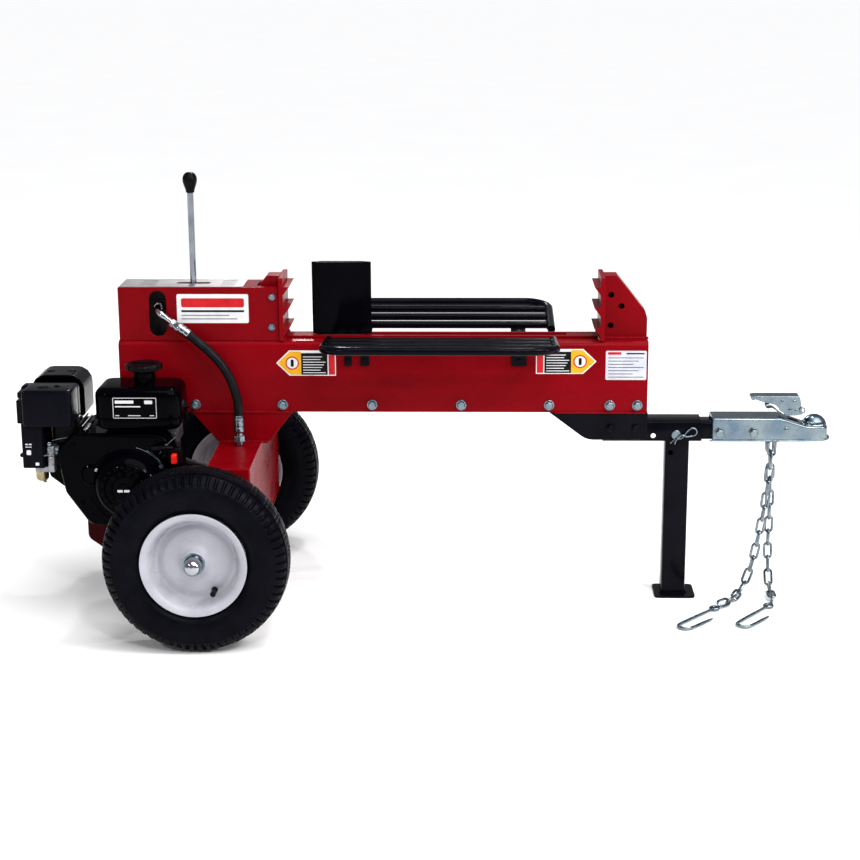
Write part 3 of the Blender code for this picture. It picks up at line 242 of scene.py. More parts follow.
class Shape:
    """Closed solids gathered into one mesh."""

    def __init__(self):
        self.bm = bmesh.new()

    def skin(self, rings, loop=False, capped=True):
        """Faces between rings of points, which are joined end to end if they loop."""
        made = [[self.bm.verts.new(p) for p in ring] for ring in rings]
        for a, b in zip(made, made[1:] + made[:1] if loop else made[1:]):
            for i in range(len(a)):
                j = (i + 1) % len(a)
                self.bm.faces.new((a[i], a[j], b[j], b[i]))
        if capped and not loop:
            self.bm.faces.new(made[0])
            self.bm.faces.new(made[-1])
        return self

    def sweep(self, route, radius, sides=16, closed=False, section=None, up=None):
        """A bar along a route. radius is one number or a function of the share of the way along."""
        route = [Vector(p) for p in route]
        section = section or circle(1.0, sides)
        rings = []
        for i, (point, (ahead, side)) in enumerate(zip(route, frames(route, closed))):
            if up:
                side = ahead.cross(Vector(up)).normalized()
            other = side.cross(ahead)
            size = radius(i / (len(route) - 1)) if callable(radius) else radius
            rings.append([point + side * u * size + other * v * size for u, v in section])
        return self.skin(rings, loop=closed)

    def lathe(self, profile, centre, axis="y", steps=48, closed=False):
        """A turned solid from (radius, height) pairs; height runs along the axis."""
        across, over, along = directions(axis)
        centre = Vector(centre)
        spokes = [
            across * math.cos(a) + over * math.sin(a)
            for a in (2 * math.pi * k / steps for k in range(steps))
        ]
        rings = [[centre + along * h + spoke * r for spoke in spokes] for r, h in profile]
        flat_ends = profile[0][0] > 0 and profile[-1][0] > 0
        return self.skin(rings, loop=closed, capped=flat_ends)

    def prism(self, outline, axis, low, high, centre=(0, 0, 0)):
        """A flat outline with a thickness, drawn in (y, z), (x, z) or (x, y) for axis x, y or z."""
        across, over, along = directions(axis)
        centre = Vector(centre)
        return self.skin([
            [centre + across * u + over * v + along * h for u, v in outline] for h in (low, high)
        ])

    def plate(self, low, high, corner, axis, start, end, segments=5, centre=(0, 0, 0)):
        """A rectangle with rounded corners and a thickness."""
        return self.prism(rounded(rectangle(low, high), corner, segments), axis, start, end, centre)

    def ring(self, centre, radius, axis, count, wire, sides, section=None):
        """A wire bent into a circle round an axis."""
        across, over = directions(axis)[:2]
        route = [Vector(centre) + across * u + over * v for u, v in circle(radius, count)]
        return self.sweep(route, wire, sides, closed=True, section=section)

    def box(self, low, high):
        return self.prism(rectangle(low[:2], high[:2]), "z", low[2], high[2])

    def bolt(self, place, along, across_flats, washer=True, height=None):
        """A hexagon head with a chamfered top on a washer, standing along a direction."""
        along = Vector(along).normalized()
        side = along.orthogonal().normalized()
        axes = (side, along.cross(side), along)
        radius = across_flats / math.sqrt(3)
        base = 0.0
        if washer:
            base = 0.0018
            self.lathe([(0.0, base), (radius * 1.22, base), (radius * 1.28, base * 0.6),
                        (radius * 1.28, 0.0), (0.0, 0.0)], place, axes, 24)
        top = base + (height or across_flats * 0.55)
        hexagon = circle(1.0, 6)
        rings = [(radius, base), (radius, top - radius * 0.16), (radius * 0.84, top)]
        place = Vector(place)
        return self.skin([
            [place + axes[0] * u * r + axes[1] * v * r + along * h for u, v in hexagon] for r, h in rings
        ])

    def bolts(self, places, y, across_flats, along=-Y, washer=True):
        """Heads on a plane that faces along Y; places are (x, z) pairs."""
        for x, z in places:
            self.bolt((x, y, z), along, across_flats, washer)
        return self

    def bolts_both_sides(self, places, out, across_flats):
        """The same heads on both sides, each a distance out from the beam's middle."""
        for side in SIDES.values():
            self.bolts(places, side * out, across_flats, Y * side)
        return self

    def weld(self, route, radius=0.0035, spacing=0.0022):
        """A bead laid in ripples along a route."""
        route = smooth(route, spacing)
        ripple = [radius * (1.0 + 0.16 * math.sin(i * 1.9)) for i in range(len(route))]
        last = len(route) - 1
        return self.sweep(route, lambda share: ripple[round(share * last)], 8)

    def copy(self, node):
        """A CAD node's mesh, with its triangles merged into flat faces."""
        self.bm.from_mesh(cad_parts[node].data)
        bmesh.ops.translate(self.bm, verts=self.bm.verts, vec=(-AXLE_X, 0, 0))
        bmesh.ops.remove_doubles(self.bm, verts=self.bm.verts, dist=0.00001)
        bmesh.ops.dissolve_limit(
            self.bm, angle_limit=math.radians(1), verts=self.bm.verts, edges=self.bm.edges,
        )
        return self

    def show(self, name, look, body="frame", replaces=(), bevel=0.0, segments=2, angle=34):
        """Makes the piece, rounds its edges, and hangs it on its body."""
        bm = self.bm
        bmesh.ops.remove_doubles(bm, verts=bm.verts, dist=0.000002)
        bmesh.ops.recalc_face_normals(bm, faces=bm.faces)
        bmesh.ops.translate(bm, verts=bm.verts, vec=(AXLE_X, 0, 0))
        mesh = bpy.data.meshes.new(name)
        bm.to_mesh(mesh)
        bm.free()
        if "custom_normal" in mesh.attributes:
            mesh.attributes.remove(mesh.attributes["custom_normal"])
        mesh.materials.clear()
        mesh.materials.append(finish(look))
        mesh.shade_smooth()
        obj = bpy.data.objects.new(name, mesh)
        bpy.context.scene.collection.objects.link(obj)
        if bevel:
            step = obj.modifiers.new("edges", "BEVEL")
            step.width, step.segments = bevel, segments
            step.limit_method, step.angle_limit = "ANGLE", math.radians(angle)
            step.use_clamp_overlap = False
            step.harden_normals = True
        else:
            mesh.set_sharp_from_angle(angle=math.radians(angle))
        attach(obj, body)
        if replaces:
            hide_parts(*replaces)
        return obj


def refined(node, look, bevel, body="frame", segments=2):
    """A CAD node's own shape with rounded edges, shown in its place."""
    return Shape().copy(node).show(node + "_skin", look, body, (node,), bevel, segments)


# ---- chains and hoses ----

CHAIN_ROUTES = {
    "near": [
        (1.298, -0.017, 0.378), (1.2975, -0.017, 0.355), (1.295, -0.017, 0.315), (1.29, -0.016, 0.25),
        (1.281, -0.015, 0.18), (1.269, -0.013, 0.108), (1.257, -0.013, 0.058), (1.243, -0.02, 0.026),
        (1.228, -0.043, 0.0135), (1.211, -0.075, 0.0113), (1.191, -0.1, 0.0113), (1.1745, -0.1125, 0.0113),
    ],
    "far": [
        (1.298, 0.017, 0.378), (1.299, 0.0175, 0.35), (1.302, 0.018, 0.29), (1.304, 0.019, 0.2),
        (1.304, 0.02, 0.12), (1.306, 0.018, 0.06), (1.3075, 0.009, 0.026), (1.3075, -0.015, 0.0135),
        (1.307, -0.045, 0.0113), (1.305, -0.07, 0.0113), (1.3005, -0.092, 0.0113),
    ],
}
HOOK_EYES = {  # the eye's place on the floor, and the way its shank runs
    "near": ((1.1715, -0.1155), (-0.66, -0.75)),
    "far": ((1.2985, -0.0965), (-0.615, -0.79)),
}
LINK_WIRE, LINK_HALF_WIDTH, LINK_HALF_STRAIGHT, LINK_PITCH = 0.0032, 0.0081, 0.0108, 0.0322
HOSES = {
    # route and radius
    "return_hose": ([
        (-0.044, -0.078, 0.642), (-0.029, -0.083, 0.631), (-0.004, -0.088, 0.611), (0.02, -0.0905, 0.587),
        (0.04, -0.092, 0.559), (0.054, -0.093, 0.528), (0.0635, -0.0938, 0.492), (0.065, -0.094, 0.47),
        (0.065, -0.094, 0.459),
    ], 0.0103),
    "pressure_hose": ([
        (-0.178, 0.15, 0.3725), (-0.178, 0.15, 0.42), (-0.172, 0.146, 0.5), (-0.16, 0.125, 0.58),
        (-0.14, 0.1, 0.65), (-0.12, 0.065, 0.684), (-0.115, 0.04, 0.69), (-0.115, 0.021, 0.69),
    ], 0.009),
    "suction_hose": ([
        (-0.137, 0.128, 0.288), (-0.115, 0.128, 0.287), (-0.07, 0.128, 0.273), (-0.02, 0.128, 0.259),
        (0.011, 0.128, 0.256),
    ], 0.0125),
}


def along_route(route, distance):
    """The point and the two directions a distance along a route."""
    for (a, b), (ahead, side) in zip(zip(route, route[1:]), frames(route)):
        step = (b - a).length
        if distance <= step:
            return a.lerp(b, distance / step), ahead, side
        distance -= step
    return (route[-1], *frames(route)[-1])


def chain(label):
    """Welded links, each a quarter turn from the last, with a hook that is the CAD's own."""
    route = smooth(CHAIN_ROUTES[label], 0.004)
    total = length_of(route)
    links = Shape()
    oval = arc((LINK_HALF_STRAIGHT, 0), LINK_HALF_WIDTH, -90, 90, 8)
    oval += arc((-LINK_HALF_STRAIGHT, 0), LINK_HALF_WIDTH, 90, 270, 8)
    count = round(total / LINK_PITCH)
    for k in range(count):
        point, ahead, side = along_route(route, (k + 0.5) * total / count)
        turned = Quaternion(ahead, math.radians(45 + 90 * (k % 2))) @ side
        links.sweep([point + ahead * u + turned * v for u, v in oval], LINK_WIRE, 10, closed=True)
    piece = links.show(f"{label}_chain_links", "chain_zinc", replaces=(f"{label}_chain",))

    place, way = HOOK_EYES[label]
    way = Vector((*way, 0)).normalized()
    eye = Shape()
    eye.ring(Vector((*place, 0.0048)) + way * 0.011, 0.0085, (way, Z.cross(way), Z), 12, 0.0045, 12)
    loop = eye.show(f"{label}_hook_eye", "chain_zinc")
    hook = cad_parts[f"{label}_chain_hook"]
    hook.modifiers.new("weld", "WELD")
    step = hook.modifiers.new("decimate", "DECIMATE")
    step.decimate_type, step.angle_limit = "DISSOLVE", math.radians(2)
    step = hook.modifiers.new("subsurf", "SUBSURF")
    step.levels = step.render_levels = 2


def hose(name):
    points, radius = HOSES[name]
    route = smooth(points, 0.006)
    piece = Shape().sweep(route, radius, 24).show(name + "_tube", "hose_rubber", replaces=(name,))


# ---- the beam, its feet and the wedge ----

GAP = 0.0002  # between a CAD surface and what is laid on it
BEAM_HALF, BEAM_LOW, BEAM_TOP = 0.062, 0.458, 0.624
BOLTS_ALONG_BEAM = (-0.038, 0.164, 0.37, 0.575, 0.777, 0.916, 0.979)
BOLT_HEIGHT = 0.475


def beam():
    refined("beam_shell", "red_paint", 0.0008)
    refined("slide_rail", "red_paint", 0.001)
    refined("rear_foot", "red_paint", 0.0007)
    refined("front_foot", "red_paint", 0.0007)
    refined("wedge", "wedge_paint", 0.0006, "wedge_ram")
    web = [(0.9015, 0.6275), (0.985, 0.6275), (0.985, 0.7), (0.945, 0.742), (0.9015, 0.742)]
    # the web between the gussets takes the darker red: painted shade
    Shape().prism(web, "y", -0.0015, 0.0015).show("front_foot_web", "red_paint_painted_shade", bevel=0.0003)

    bolts, rods = Shape(), Shape()
    bolts.bolts_both_sides([(x, BOLT_HEIGHT) for x in BOLTS_ALONG_BEAM], BEAM_HALF + GAP, 0.0165)
    for x in BOLTS_ALONG_BEAM:
        rods.lathe([(0.005, -0.0555), (0.005, 0.0555)], (x, 0, BOLT_HEIGHT), "y", 20)
    bolts.show("beam_bolts", "zinc_plate", bevel=0.0004)
    rods.show("beam_tie_rods", "bare_steel", bevel=0.0003)

    beads = Shape()
    top = BEAM_TOP + 0.0015
    for side in SIDES.values():
        wall, gusset, edge = side * (BEAM_HALF + 0.0006), side * 0.0255, side * 0.0262
        beads.weld([(x, wall, BEAM_LOW) for x in (-0.044, 0.07, 0.184)])
        beads.weld([(x, wall, BEAM_LOW) for x in (0.79, 0.9, 0.998)], 0.0028)
        for x in (0.1707, 0.8903):
            beads.weld([(x, side * y, top) for y in (0.0265, 0.042, 0.0555)])
        beads.weld([(x, gusset, top) for x in (0.903, 0.95, 1.004)])
        beads.weld([(0.9005, edge, 0.632), (0.9022, edge, 0.7), (0.9022, edge, 0.762)], 0.0026)
    beads.show("beam_welds", "red_paint")


# ---- the valve, its housing and the lever ----

HOUSING_HALF, HOUSING_TOP = 0.053, 0.747
LEVER = Vector((-0.042, 0.0, 0.69))
KNOB_BASE = 0.9565


def valve():
    refined("valve_housing", "red_paint", 0.0022)
    refined("control_valve", "cast_iron", 0.0008)
    slot = rounded(rectangle((LEVER.x - 0.0395, -0.0105), (LEVER.x + 0.0395, 0.0105)), 0.0095)
    outer = rounded(rectangle((-0.206, -0.0485), (0.078, 0.0485)), 0.005, len(slot) // 4 - 1)
    low, high = HOUSING_TOP + GAP, HOUSING_TOP + 0.0017
    plate = Shape().skin([
        [Vector((x, y, z)) for x, y in outline]
        for outline, z in ((outer, low), (outer, high), (slot, high), (slot, low))
    ], loop=True)
    plate.show("housing_top_plate", "housing_plate", bevel=0.0003)
    cover = Shape().box((-0.15, -0.018, 0.7121), (-0.083, 0.018, 0.742))
    cover.show("valve_cover", "cast_iron", bevel=0.002)

    screws = Shape().bolts_both_sides([(0.144, 0.725), (0.142, 0.655)], HOUSING_HALF + GAP, 0.0105)
    screws.show("housing_screws", "zinc_plate", bevel=0.0003)

    lever = Shape()
    lever.lathe([(0.0072, 0.0), (0.0072, KNOB_BASE - LEVER.z - 0.0005)], LEVER, "z", 32)
    lever.lathe([(0.009, -0.0138), (0.009, 0.0138)], LEVER, "y", 32)
    # the lever rod takes the darker copy of the chrome: painted shade
    lever.show("lever_rod", "lever_chrome_painted_shade", "lever", ("control_lever",), bevel=0.0005)
    knob = Shape().lathe([
        (0.0, 0.047), (0.0045, 0.0467), (0.0085, 0.0455), (0.0118, 0.043), (0.0143, 0.0395),
        (0.016, 0.035), (0.0166, 0.0305), (0.0161, 0.025), (0.0146, 0.019), (0.0126, 0.013),
        (0.0108, 0.008), (0.0098, 0.0045), (0.0098, 0.0008), (0.0, 0.0003),
    ], (LEVER.x, 0, KNOB_BASE), "z", 48)
    knob.show("lever_knob_moulding", "black_plastic", "lever", ("lever_knob",), bevel=0.0004)


def valve_plumbing():
    """The elbow out of the window with its hexagon, the crimped sleeves, and the fitting on the tank."""
    start = Vector(HOSES["return_hose"][0][0])
    ahead = Vector((-0.0147, 0.0038, 0.0098)).normalized()
    sleeve_start = start + ahead * 0.042
    elbow = smooth([
        sleeve_start - ahead * 0.004, sleeve_start + ahead * 0.01, (-0.106, -0.07, 0.687),
        (-0.118, -0.056, 0.696), (-0.12, -0.04, 0.698), (-0.12, -0.0203, 0.698),
    ], 0.003)
    shape = Shape().sweep(elbow, 0.0078, 24)
    side = ahead.orthogonal().normalized()
    shape.lathe([
        (0.0108, 0.0004), (0.0118, 0.0012), (0.0118, 0.008), (0.0109, 0.009), (0.0109, 0.012),
        (0.0118, 0.013), (0.0118, 0.02), (0.0109, 0.021), (0.0109, 0.024), (0.0118, 0.025),
        (0.0118, 0.033), (0.0098, 0.036), (0.0088, 0.042),
    ], start, (side, ahead.cross(side), ahead), 32)
    shape.bolt((-0.12, -0.021, 0.698), -Y, 0.0215, washer=False, height=0.012)
    shape.bolt(sleeve_start, ahead, 0.0185, washer=False, height=0.01)
    shape.show("return_elbow", "chrome", replaces=("upper_hose_fitting",), bevel=0.0004)

    x, y, _ = HOSES["return_hose"][0][-1]
    base = TANK_TOP + 0.0003
    fitting = Shape().lathe([
        (0.0104, 0.0003), (0.0104, 0.01), (0.0086, 0.011), (0.0086, 0.03), (0.0112, 0.033),
        (0.0118, 0.035), (0.0118, 0.043), (0.011, 0.044), (0.011, 0.047), (0.0118, 0.048),
        (0.0118, 0.056), (0.011, 0.057), (0.011, 0.06), (0.0118, 0.061), (0.0118, 0.07), (0.011, 0.0717),
    ], (x, y, base), "z", 32)
    fitting.bolt((x, y, base + 0.01), Z, 0.0225, washer=False, height=0.015)
    fitting.show("tank_fitting", "zinc_plate", replaces=("lower_hose_fitting",), bevel=0.0004)


# ---- cradles ----

def cradles():
    """Bent tube frames with three rods, held to the beam by straps under them."""
    corner, rear, front = 0.06, 0.273, 0.785
    (y_in, z_in), (y_out, z_out) = (0.0963, 0.631), (0.2865, 0.65)
    slope = (z_out - z_in) / (y_out - y_in)
    for label, side in SIDES.items():
        def spot(x, y):
            return Vector((x, side * y, z_in + (y - y_in) * slope))

        plan = [(rear, BEAM_HALF + 0.0004), (rear, 0.1), (rear, 0.16)]
        plan += arc((rear + corner, y_out - corner), corner, 180, 90, 14)
        plan += arc((front - corner, y_out - corner), corner, 90, 0, 14)
        plan += [(front, 0.16), (front, 0.1), (front, BEAM_HALF + 0.0004)]
        shape = Shape().sweep([spot(x, y) for x, y in plan], 0.0095, 20)
        for k in range(3):
            y = y_in + k * (y_out - y_in) / 3
            inset = 0.0
            if y > y_out - corner:
                inset = corner - math.sqrt(corner ** 2 - (y - y_out + corner) ** 2)
            shape.sweep([spot(rear + inset, y), spot(0.53, y), spot(front - inset, y)], 0.009, 20)
            for x in (rear + inset + 0.0085, front - inset - 0.0085):
                shape.ring(spot(x, y), 0.0092, "x", 24, 0.0022, 8)
        shape.show(f"{label}_cradle_frame", "black_paint", replaces=(f"{label}_cradle",), bevel=0.0)

        straps = Shape()
        for x, half in ((0.3165, 0.0085), (0.355, 0.01), (0.7075, 0.0175)):
            bar = smooth([(x, side * y, z) for y, z in (
                (BEAM_HALF + 0.0028, 0.568), (BEAM_HALF + 0.0028, 0.6), (BEAM_HALF + 0.0028, 0.615),
                (0.07, 0.6225), (0.085, 0.6246), (0.0965, 0.6254),
            )], 0.004)
            section = rounded(rectangle((-0.0021, -half), (0.0021, half)), 0.0008, 2)
            straps.sweep(bar, 1.0, section=section, up=X)
            straps.bolt((x, side * (BEAM_HALF + 0.005), 0.58), Y * side, 0.0095)
        straps.show(f"{label}_cradle_straps", "black_paint")


# ---- tank, axle and wheels ----

TANK_HALF, TANK_LOW, TANK_TOP = 0.29, 0.176, 0.386
AXLE_HEIGHT, TRACK = 0.206, 0.74
TREAD_BLOCKS, COLUMNS_PER_BLOCK = 66, 6


def tank():
    refined("oil_tank", "red_paint", 0.0045, segments=3)
    refined("beam_saddle", "red_paint", 0.0008)
    refined("axle_beam", "red_paint", 0.0022)
    beads = Shape()
    for side in SIDES.values():
        y = side * (BEAM_HALF + 0.001)
        beads.weld([(x, y, TANK_TOP + 0.001) for x in (0.016, 0.07, 0.128)])
        end = side * (TANK_HALF + 0.0006)
        beads.weld([(x, end, z) for x, z in (
            (0.018, 0.2385), (0.024, 0.2385), (0.0305, 0.2375),
            (0.0312, 0.232), (0.0312, 0.205), (0.0312, 0.181),
        )], 0.0026)
    low = TANK_LOW + 0.004
    beads.weld([(0.1125, -0.27, low), (0.113, 0.0, low), (0.1125, 0.27, low)], 0.0026, 0.003)
    beads.show("tank_welds", "red_paint")

    x, y, ridges, radius = 0.062, 0.2, 24, 0.0215
    cap = Shape().lathe([
        (0.0, 0.0305), (0.014, 0.0305), (0.0205, 0.029), (radius, 0.027), (radius, 0.0075),
        (0.02, 0.006), (0.02, 0.0005), (0.0118, 0.0003), (0.0118, -0.0118), (0.0, -0.0118),
    ], (x, y, TANK_TOP), "z", 48)
    for u, v in circle(radius, ridges, (x, y)):
        cap.lathe([(0.0014, 0.0085), (0.0014, 0.026)], (u, v, TANK_TOP), "z", 8)
    cap.show("tank_cap_moulding", "black_plastic", "oil_cap", ("tank_breather_cap",), bevel=0.0003)


def tyre(label, side):
    """A tyre skinned column by column; the shoulders' grooves and the crown's ribs are sunk into it."""
    profile = smooth([(r, h, 0) for r, h in (
        (0.118, 0.0455), (0.12, 0.049), (0.1225, 0.051), (0.1245, 0.0515), (0.1262, 0.053),
        (0.133, 0.0568), (0.145, 0.0596), (0.158, 0.0606), (0.17, 0.06), (0.176, 0.059),
        (0.1775, 0.0595), (0.179, 0.0589), (0.1815, 0.0572), (0.1862, 0.0543), (0.1915, 0.05),
        (0.1962, 0.045), (0.1995, 0.039), (0.2018, 0.032), (0.2038, 0.022), (0.205, 0.011), (0.2054, 0.0),
    )], 0.0022)
    outer = [(p.x, p.y) for p in profile]
    section = outer + [(r, -h) for r, h in outer[-2::-1]]
    inner = [(0.1165, -0.04), (0.17, -0.048), (0.19, -0.035), (0.196, 0.0),
             (0.19, 0.035), (0.17, 0.048), (0.1165, 0.04)]
    shoulder, crown = 0.18, 0.2
    columns = TREAD_BLOCKS * COLUMNS_PER_BLOCK
    centre = Vector((0, side * TRACK / 2, AXLE_HEIGHT))
    rings = []
    for k in range(columns):
        block, phase = divmod(k, COLUMNS_PER_BLOCK)
        angle = 2 * math.pi * k / columns
        spoke = X * math.cos(angle) + Z * math.sin(angle)
        ring = []
        for r, h in section:
            sink = 0.0
            flank = abs(h)
            if r > shoulder and flank > 0.036 and phase in (2, 3):
                sink = 0.0052 * min(1.0, (r - shoulder) / 0.003)
            elif r > crown and (0.03 < flank < 0.0355 or 0.007 < flank < 0.0125):
                sink = 0.0035
            elif r > crown and flank < 0.03 and phase == (2 if block % 2 else 5):
                sink = 0.0016
            inwards = math.copysign(sink * 0.4, h) if flank > 0.03 else 0.0
            ring.append(centre + spoke * (r - sink) + Y * (h - inwards))
        ring += [centre + spoke * r + Y * h for r, h in inner]
        rings.append(ring)
    Shape().skin(rings, loop=True).show(
        f"{label}_tyre_tread", "tyre_rubber", f"{label}_wheel", (f"{label}_tyre",), angle=42)


def wheel(label, side):
    tyre(label, side)
    body = f"{label}_wheel"
    centre = (0, side * TRACK / 2, AXLE_HEIGHT)

    def turned(profile, steps=96):
        return Shape().lathe([(r, side * h) for r, h in profile], centre, "y", steps, closed=True)

    rim = turned([
        (0.116, 0.0532), (0.111, 0.0522), (0.104, 0.0478), (0.101, 0.043), (0.0952, 0.0262), (0.093, 0.022),
        (0.093, -0.022), (0.0952, -0.0262), (0.101, -0.043), (0.104, -0.0478), (0.116, -0.0532),
        (0.1172, -0.0546), (0.116, -0.056), (0.102, -0.0502), (0.0985, -0.0455), (0.0915, -0.0262),
        (0.0895, -0.023), (0.0895, 0.006), (0.086, 0.008), (0.064, 0.015), (0.04, 0.0178), (0.0215, 0.019),
        (0.0215, -0.044), (0.0134, -0.044), (0.0134, 0.044), (0.0215, 0.044), (0.0262, 0.0428),
        (0.0285, 0.0395), (0.031, 0.034), (0.037, 0.0285), (0.046, 0.025), (0.064, 0.0218), (0.072, 0.0188),
        (0.08, 0.015), (0.084, 0.0138), (0.088, 0.0148), (0.0902, 0.018), (0.0925, 0.025), (0.0985, 0.044),
        (0.1005, 0.0485), (0.1045, 0.0525), (0.11, 0.0548), (0.116, 0.056), (0.1172, 0.0546),
    ])
    rim.show(f"{label}_rim_pressing", "white_paint", body, (f"{label}_rim",), bevel=0.0004)
    turned([
        (0.0003, 0.081), (0.007, 0.0803), (0.0115, 0.0788), (0.015, 0.0758), (0.0175, 0.072),
        (0.0188, 0.068), (0.0196, 0.06), (0.02, 0.05), (0.021, 0.047), (0.0212, 0.0446),
        (0.0182, 0.0446), (0.0182, 0.06), (0.017, 0.068), (0.011, 0.076), (0.0003, 0.0785),
    ]).show(f"{label}_hub_cap_pressing", "chrome", body, (f"{label}_hub_cap",))
    washer = turned([(0.0256, 0.0432), (0.0256, 0.0462), (0.0214, 0.0462), (0.0214, 0.0432)], 48)
    washer.show(f"{label}_hub_washer", "zinc_plate", body, bevel=0.0004)

    stem = Shape().lathe([(r, side * h) for r, h in (
        (0.007, 0.0), (0.007, 0.004), (0.0056, 0.006), (0.0052, 0.018), (0.0062, 0.019), (0.0062, 0.032),
        (0.0046, 0.0335),
    )], (0.0405, side * (TRACK / 2 + 0.02), 0.1405), "y", 24)
    stem.show(f"{label}_valve_stem", "black_plastic", body, bevel=0.0003)


# ---- prints: plain bars and shapes where the real thing has lettering ----

INK = 0.0003  # how far each layer of a print stands above the last


def bars(rows, origin, across=X, up=Z, out=-Y, height=0.0004):
    """Thin raised bars; each row is (left, low, right, high) in metres from the origin."""
    shape = Shape()
    for left, low, right, high in rows:
        outline = rounded(rectangle((left, low), (right, high)), min(right - left, high - low) * 0.2, 2)
        shape.prism(outline, (across, up, out), 0.0, height, origin)
    return shape


def arrow_label(name, left, right, low, high, way):
    """A label with a pointed end: a yellow arrow, a round mark, a black panel and a red strip."""
    y = -BEAM_HALF - GAP
    tip = left if way < 0 else right
    middle, length = (low + high) / 2, right - left

    def along(share):
        return tip - way * length * share

    def panel(label, outline, look, step):
        layer = y - INK * step
        Shape().prism(outline, "y", layer - INK, layer).show(f"{name}_{label}", look)

    def pointed(tip_at, neck_at, end_at, inset):
        top, bottom = high - inset, low + inset
        return [
            (along(tip_at), middle), (along(neck_at), top), (along(end_at), top), (along(end_at), bottom),
            (along(neck_at), bottom),
        ]

    inner, panel_top = 0.0022, high - 0.006
    panel("border", pointed(0.0, 0.22, 1.0, 0.0), "print_white", 0)
    panel("arrow", pointed(0.025, 0.235, 0.42, inner), "print_yellow", 1)
    panel("panel", rectangle((along(0.42), low + inner), (along(0.86), panel_top)), "print_black", 1)
    panel("strip", rectangle((along(0.88), low + inner), (along(0.985), panel_top)), "print_red", 1)
    x, z = centre = (along(0.27), middle)
    panel("disc", circle(0.0155, 30, centre), "print_red", 2)
    panel("disc_face", circle(0.0125, 30, centre), "print_white", 3)
    mark = rounded(rectangle((x - 0.0035, z - 0.0085), (x + 0.0035, z + 0.0085)), 0.003, 3)
    panel("mark", mark, "print_black", 4)
    start, end = sorted((along(0.45), along(0.83)))
    rows = []
    for k in range(7):
        level = low + inner + 0.004 + k * 0.0062
        rows.append((start, level, end - 0.004 * (k * 3 % 4), level + 0.0017))
    bars(rows, (0, y - 0.0007, 0)).show(f"{name}_lines", "print_white")


def prints():
    arrow_label("left_label", 0.151, 0.288, 0.544, 0.603, -1)
    arrow_label("right_label", 0.746, 0.884, 0.549, 0.607, 1)

    def label(name, low, high, corner, y, look, parts):
        """A plain label on a side, and the bars on it: what they stand for, their look and their rows."""
        Shape().plate(low, high, corner, "y", y - INK, y).show(name, look)
        for part, ink, rows in parts:
            bars(rows, (0, y - INK, 0)).show(f"{name}_{part}", ink)

    lines = [(0.911, 0.541 + k * 0.0075, 0.992 - 0.012 * (k * 5 % 3), 0.5422 + k * 0.0075) for k in range(7)]
    label("rating_label", (0.905, 0.535), (0.998, 0.603), 0.003, -BEAM_HALF - GAP, "print_lilac", (
        ("heading", "print_red", [(0.91, 0.594, 0.94, 0.6)]),
        ("lines", "print_black", [(0.952, 0.595, 0.993, 0.598), *lines]),
    ))
    label("name_label", (-0.074, 0.665), (0.09, 0.732), 0.004, -HOUSING_HALF - GAP, "print_white", (
        ("band", "print_red", [(-0.064, 0.7015, 0.08, 0.7225)]),
        ("rule", "print_black", [(-0.064, 0.6905, 0.08, 0.695)]),
        ("lines", "print_grey", [(-0.064, 0.6815, 0.046, 0.6842), (-0.064, 0.6735, 0.064, 0.6762)]),
    ))
    rows = [(x, -0.03 + k * 0.012, x + 0.034, -0.0285 + k * 0.012) for x in (-0.16, 0.024) for k in range(6)]
    bars(rows, (0, 0, HOUSING_TOP + 0.0019), X, Y, Z, INK).show("lever_label_lines", "print_grey")


# ---- hitch, leg and coupler ----

def hitch():
    refined("tongue_bracket", "black_paint", 0.0012)
    refined("tongue_channel", "black_paint", 0.0012)
    refined("drawbar", "black_paint", 0.0012)
    refined("support_leg", "black_paint", 0.0008, "leg")
    bead = Shape()
    foot = 0.0065
    for side in SIDES.values():
        bead.weld([(x, side * 0.0256, foot) for x in (1.052, 1.0775, 1.103)], 0.0028)
    for x in (1.048, 1.107):
        bead.weld([(x, y, foot) for y in (-0.02, 0.0, 0.02)], 0.0028)
    bead.show("leg_weld", "black_paint", "leg")

    nuts = Shape()
    nuts.bolts_both_sides([(0.919, 0.421), (0.977, 0.421)], 0.0602, 0.015)
    nuts.bolts_both_sides([(0.937, 0.409), (0.966, 0.409)], 0.0382, 0.013)
    nuts.show("bracket_bolts", "black_paint", bevel=0.0004)

    pin = Shape().lathe([
        (0.0, 0.046), (0.004, 0.046), (0.0062, 0.044), (0.0062, -0.0384), (0.0108, -0.0384),
        (0.0112, -0.0392), (0.0112, -0.0432), (0.01, -0.0446), (0.0, -0.0452),
    ], (1.0725, 0, 0.4), "y", 32)
    pin.show("clevis_pin", "zinc_plate", replaces=("leg_pin",), bevel=0.0003)
    outer, crossing = -0.0475, -0.0505
    clip = [(x, outer, z) for x, z in (
        (1.059, 0.3815), (1.0655, 0.388), (1.074, 0.391), (1.083, 0.3925), (1.089, 0.3985), (1.096, 0.408),
        (1.106, 0.4165), (1.115, 0.416), (1.1195, 0.4085), (1.115, 0.4005), (1.105, 0.398),
    )]
    clip += [(x, crossing, z) for x, z in (
        (1.095, 0.3975), (1.086, 0.401), (1.077, 0.396), (1.07, 0.386), (1.069, 0.38),
    )]
    Shape().sweep(smooth(clip, 0.002), 0.0016, 12).show("hairpin_clip", "zinc_plate")

    coupler()


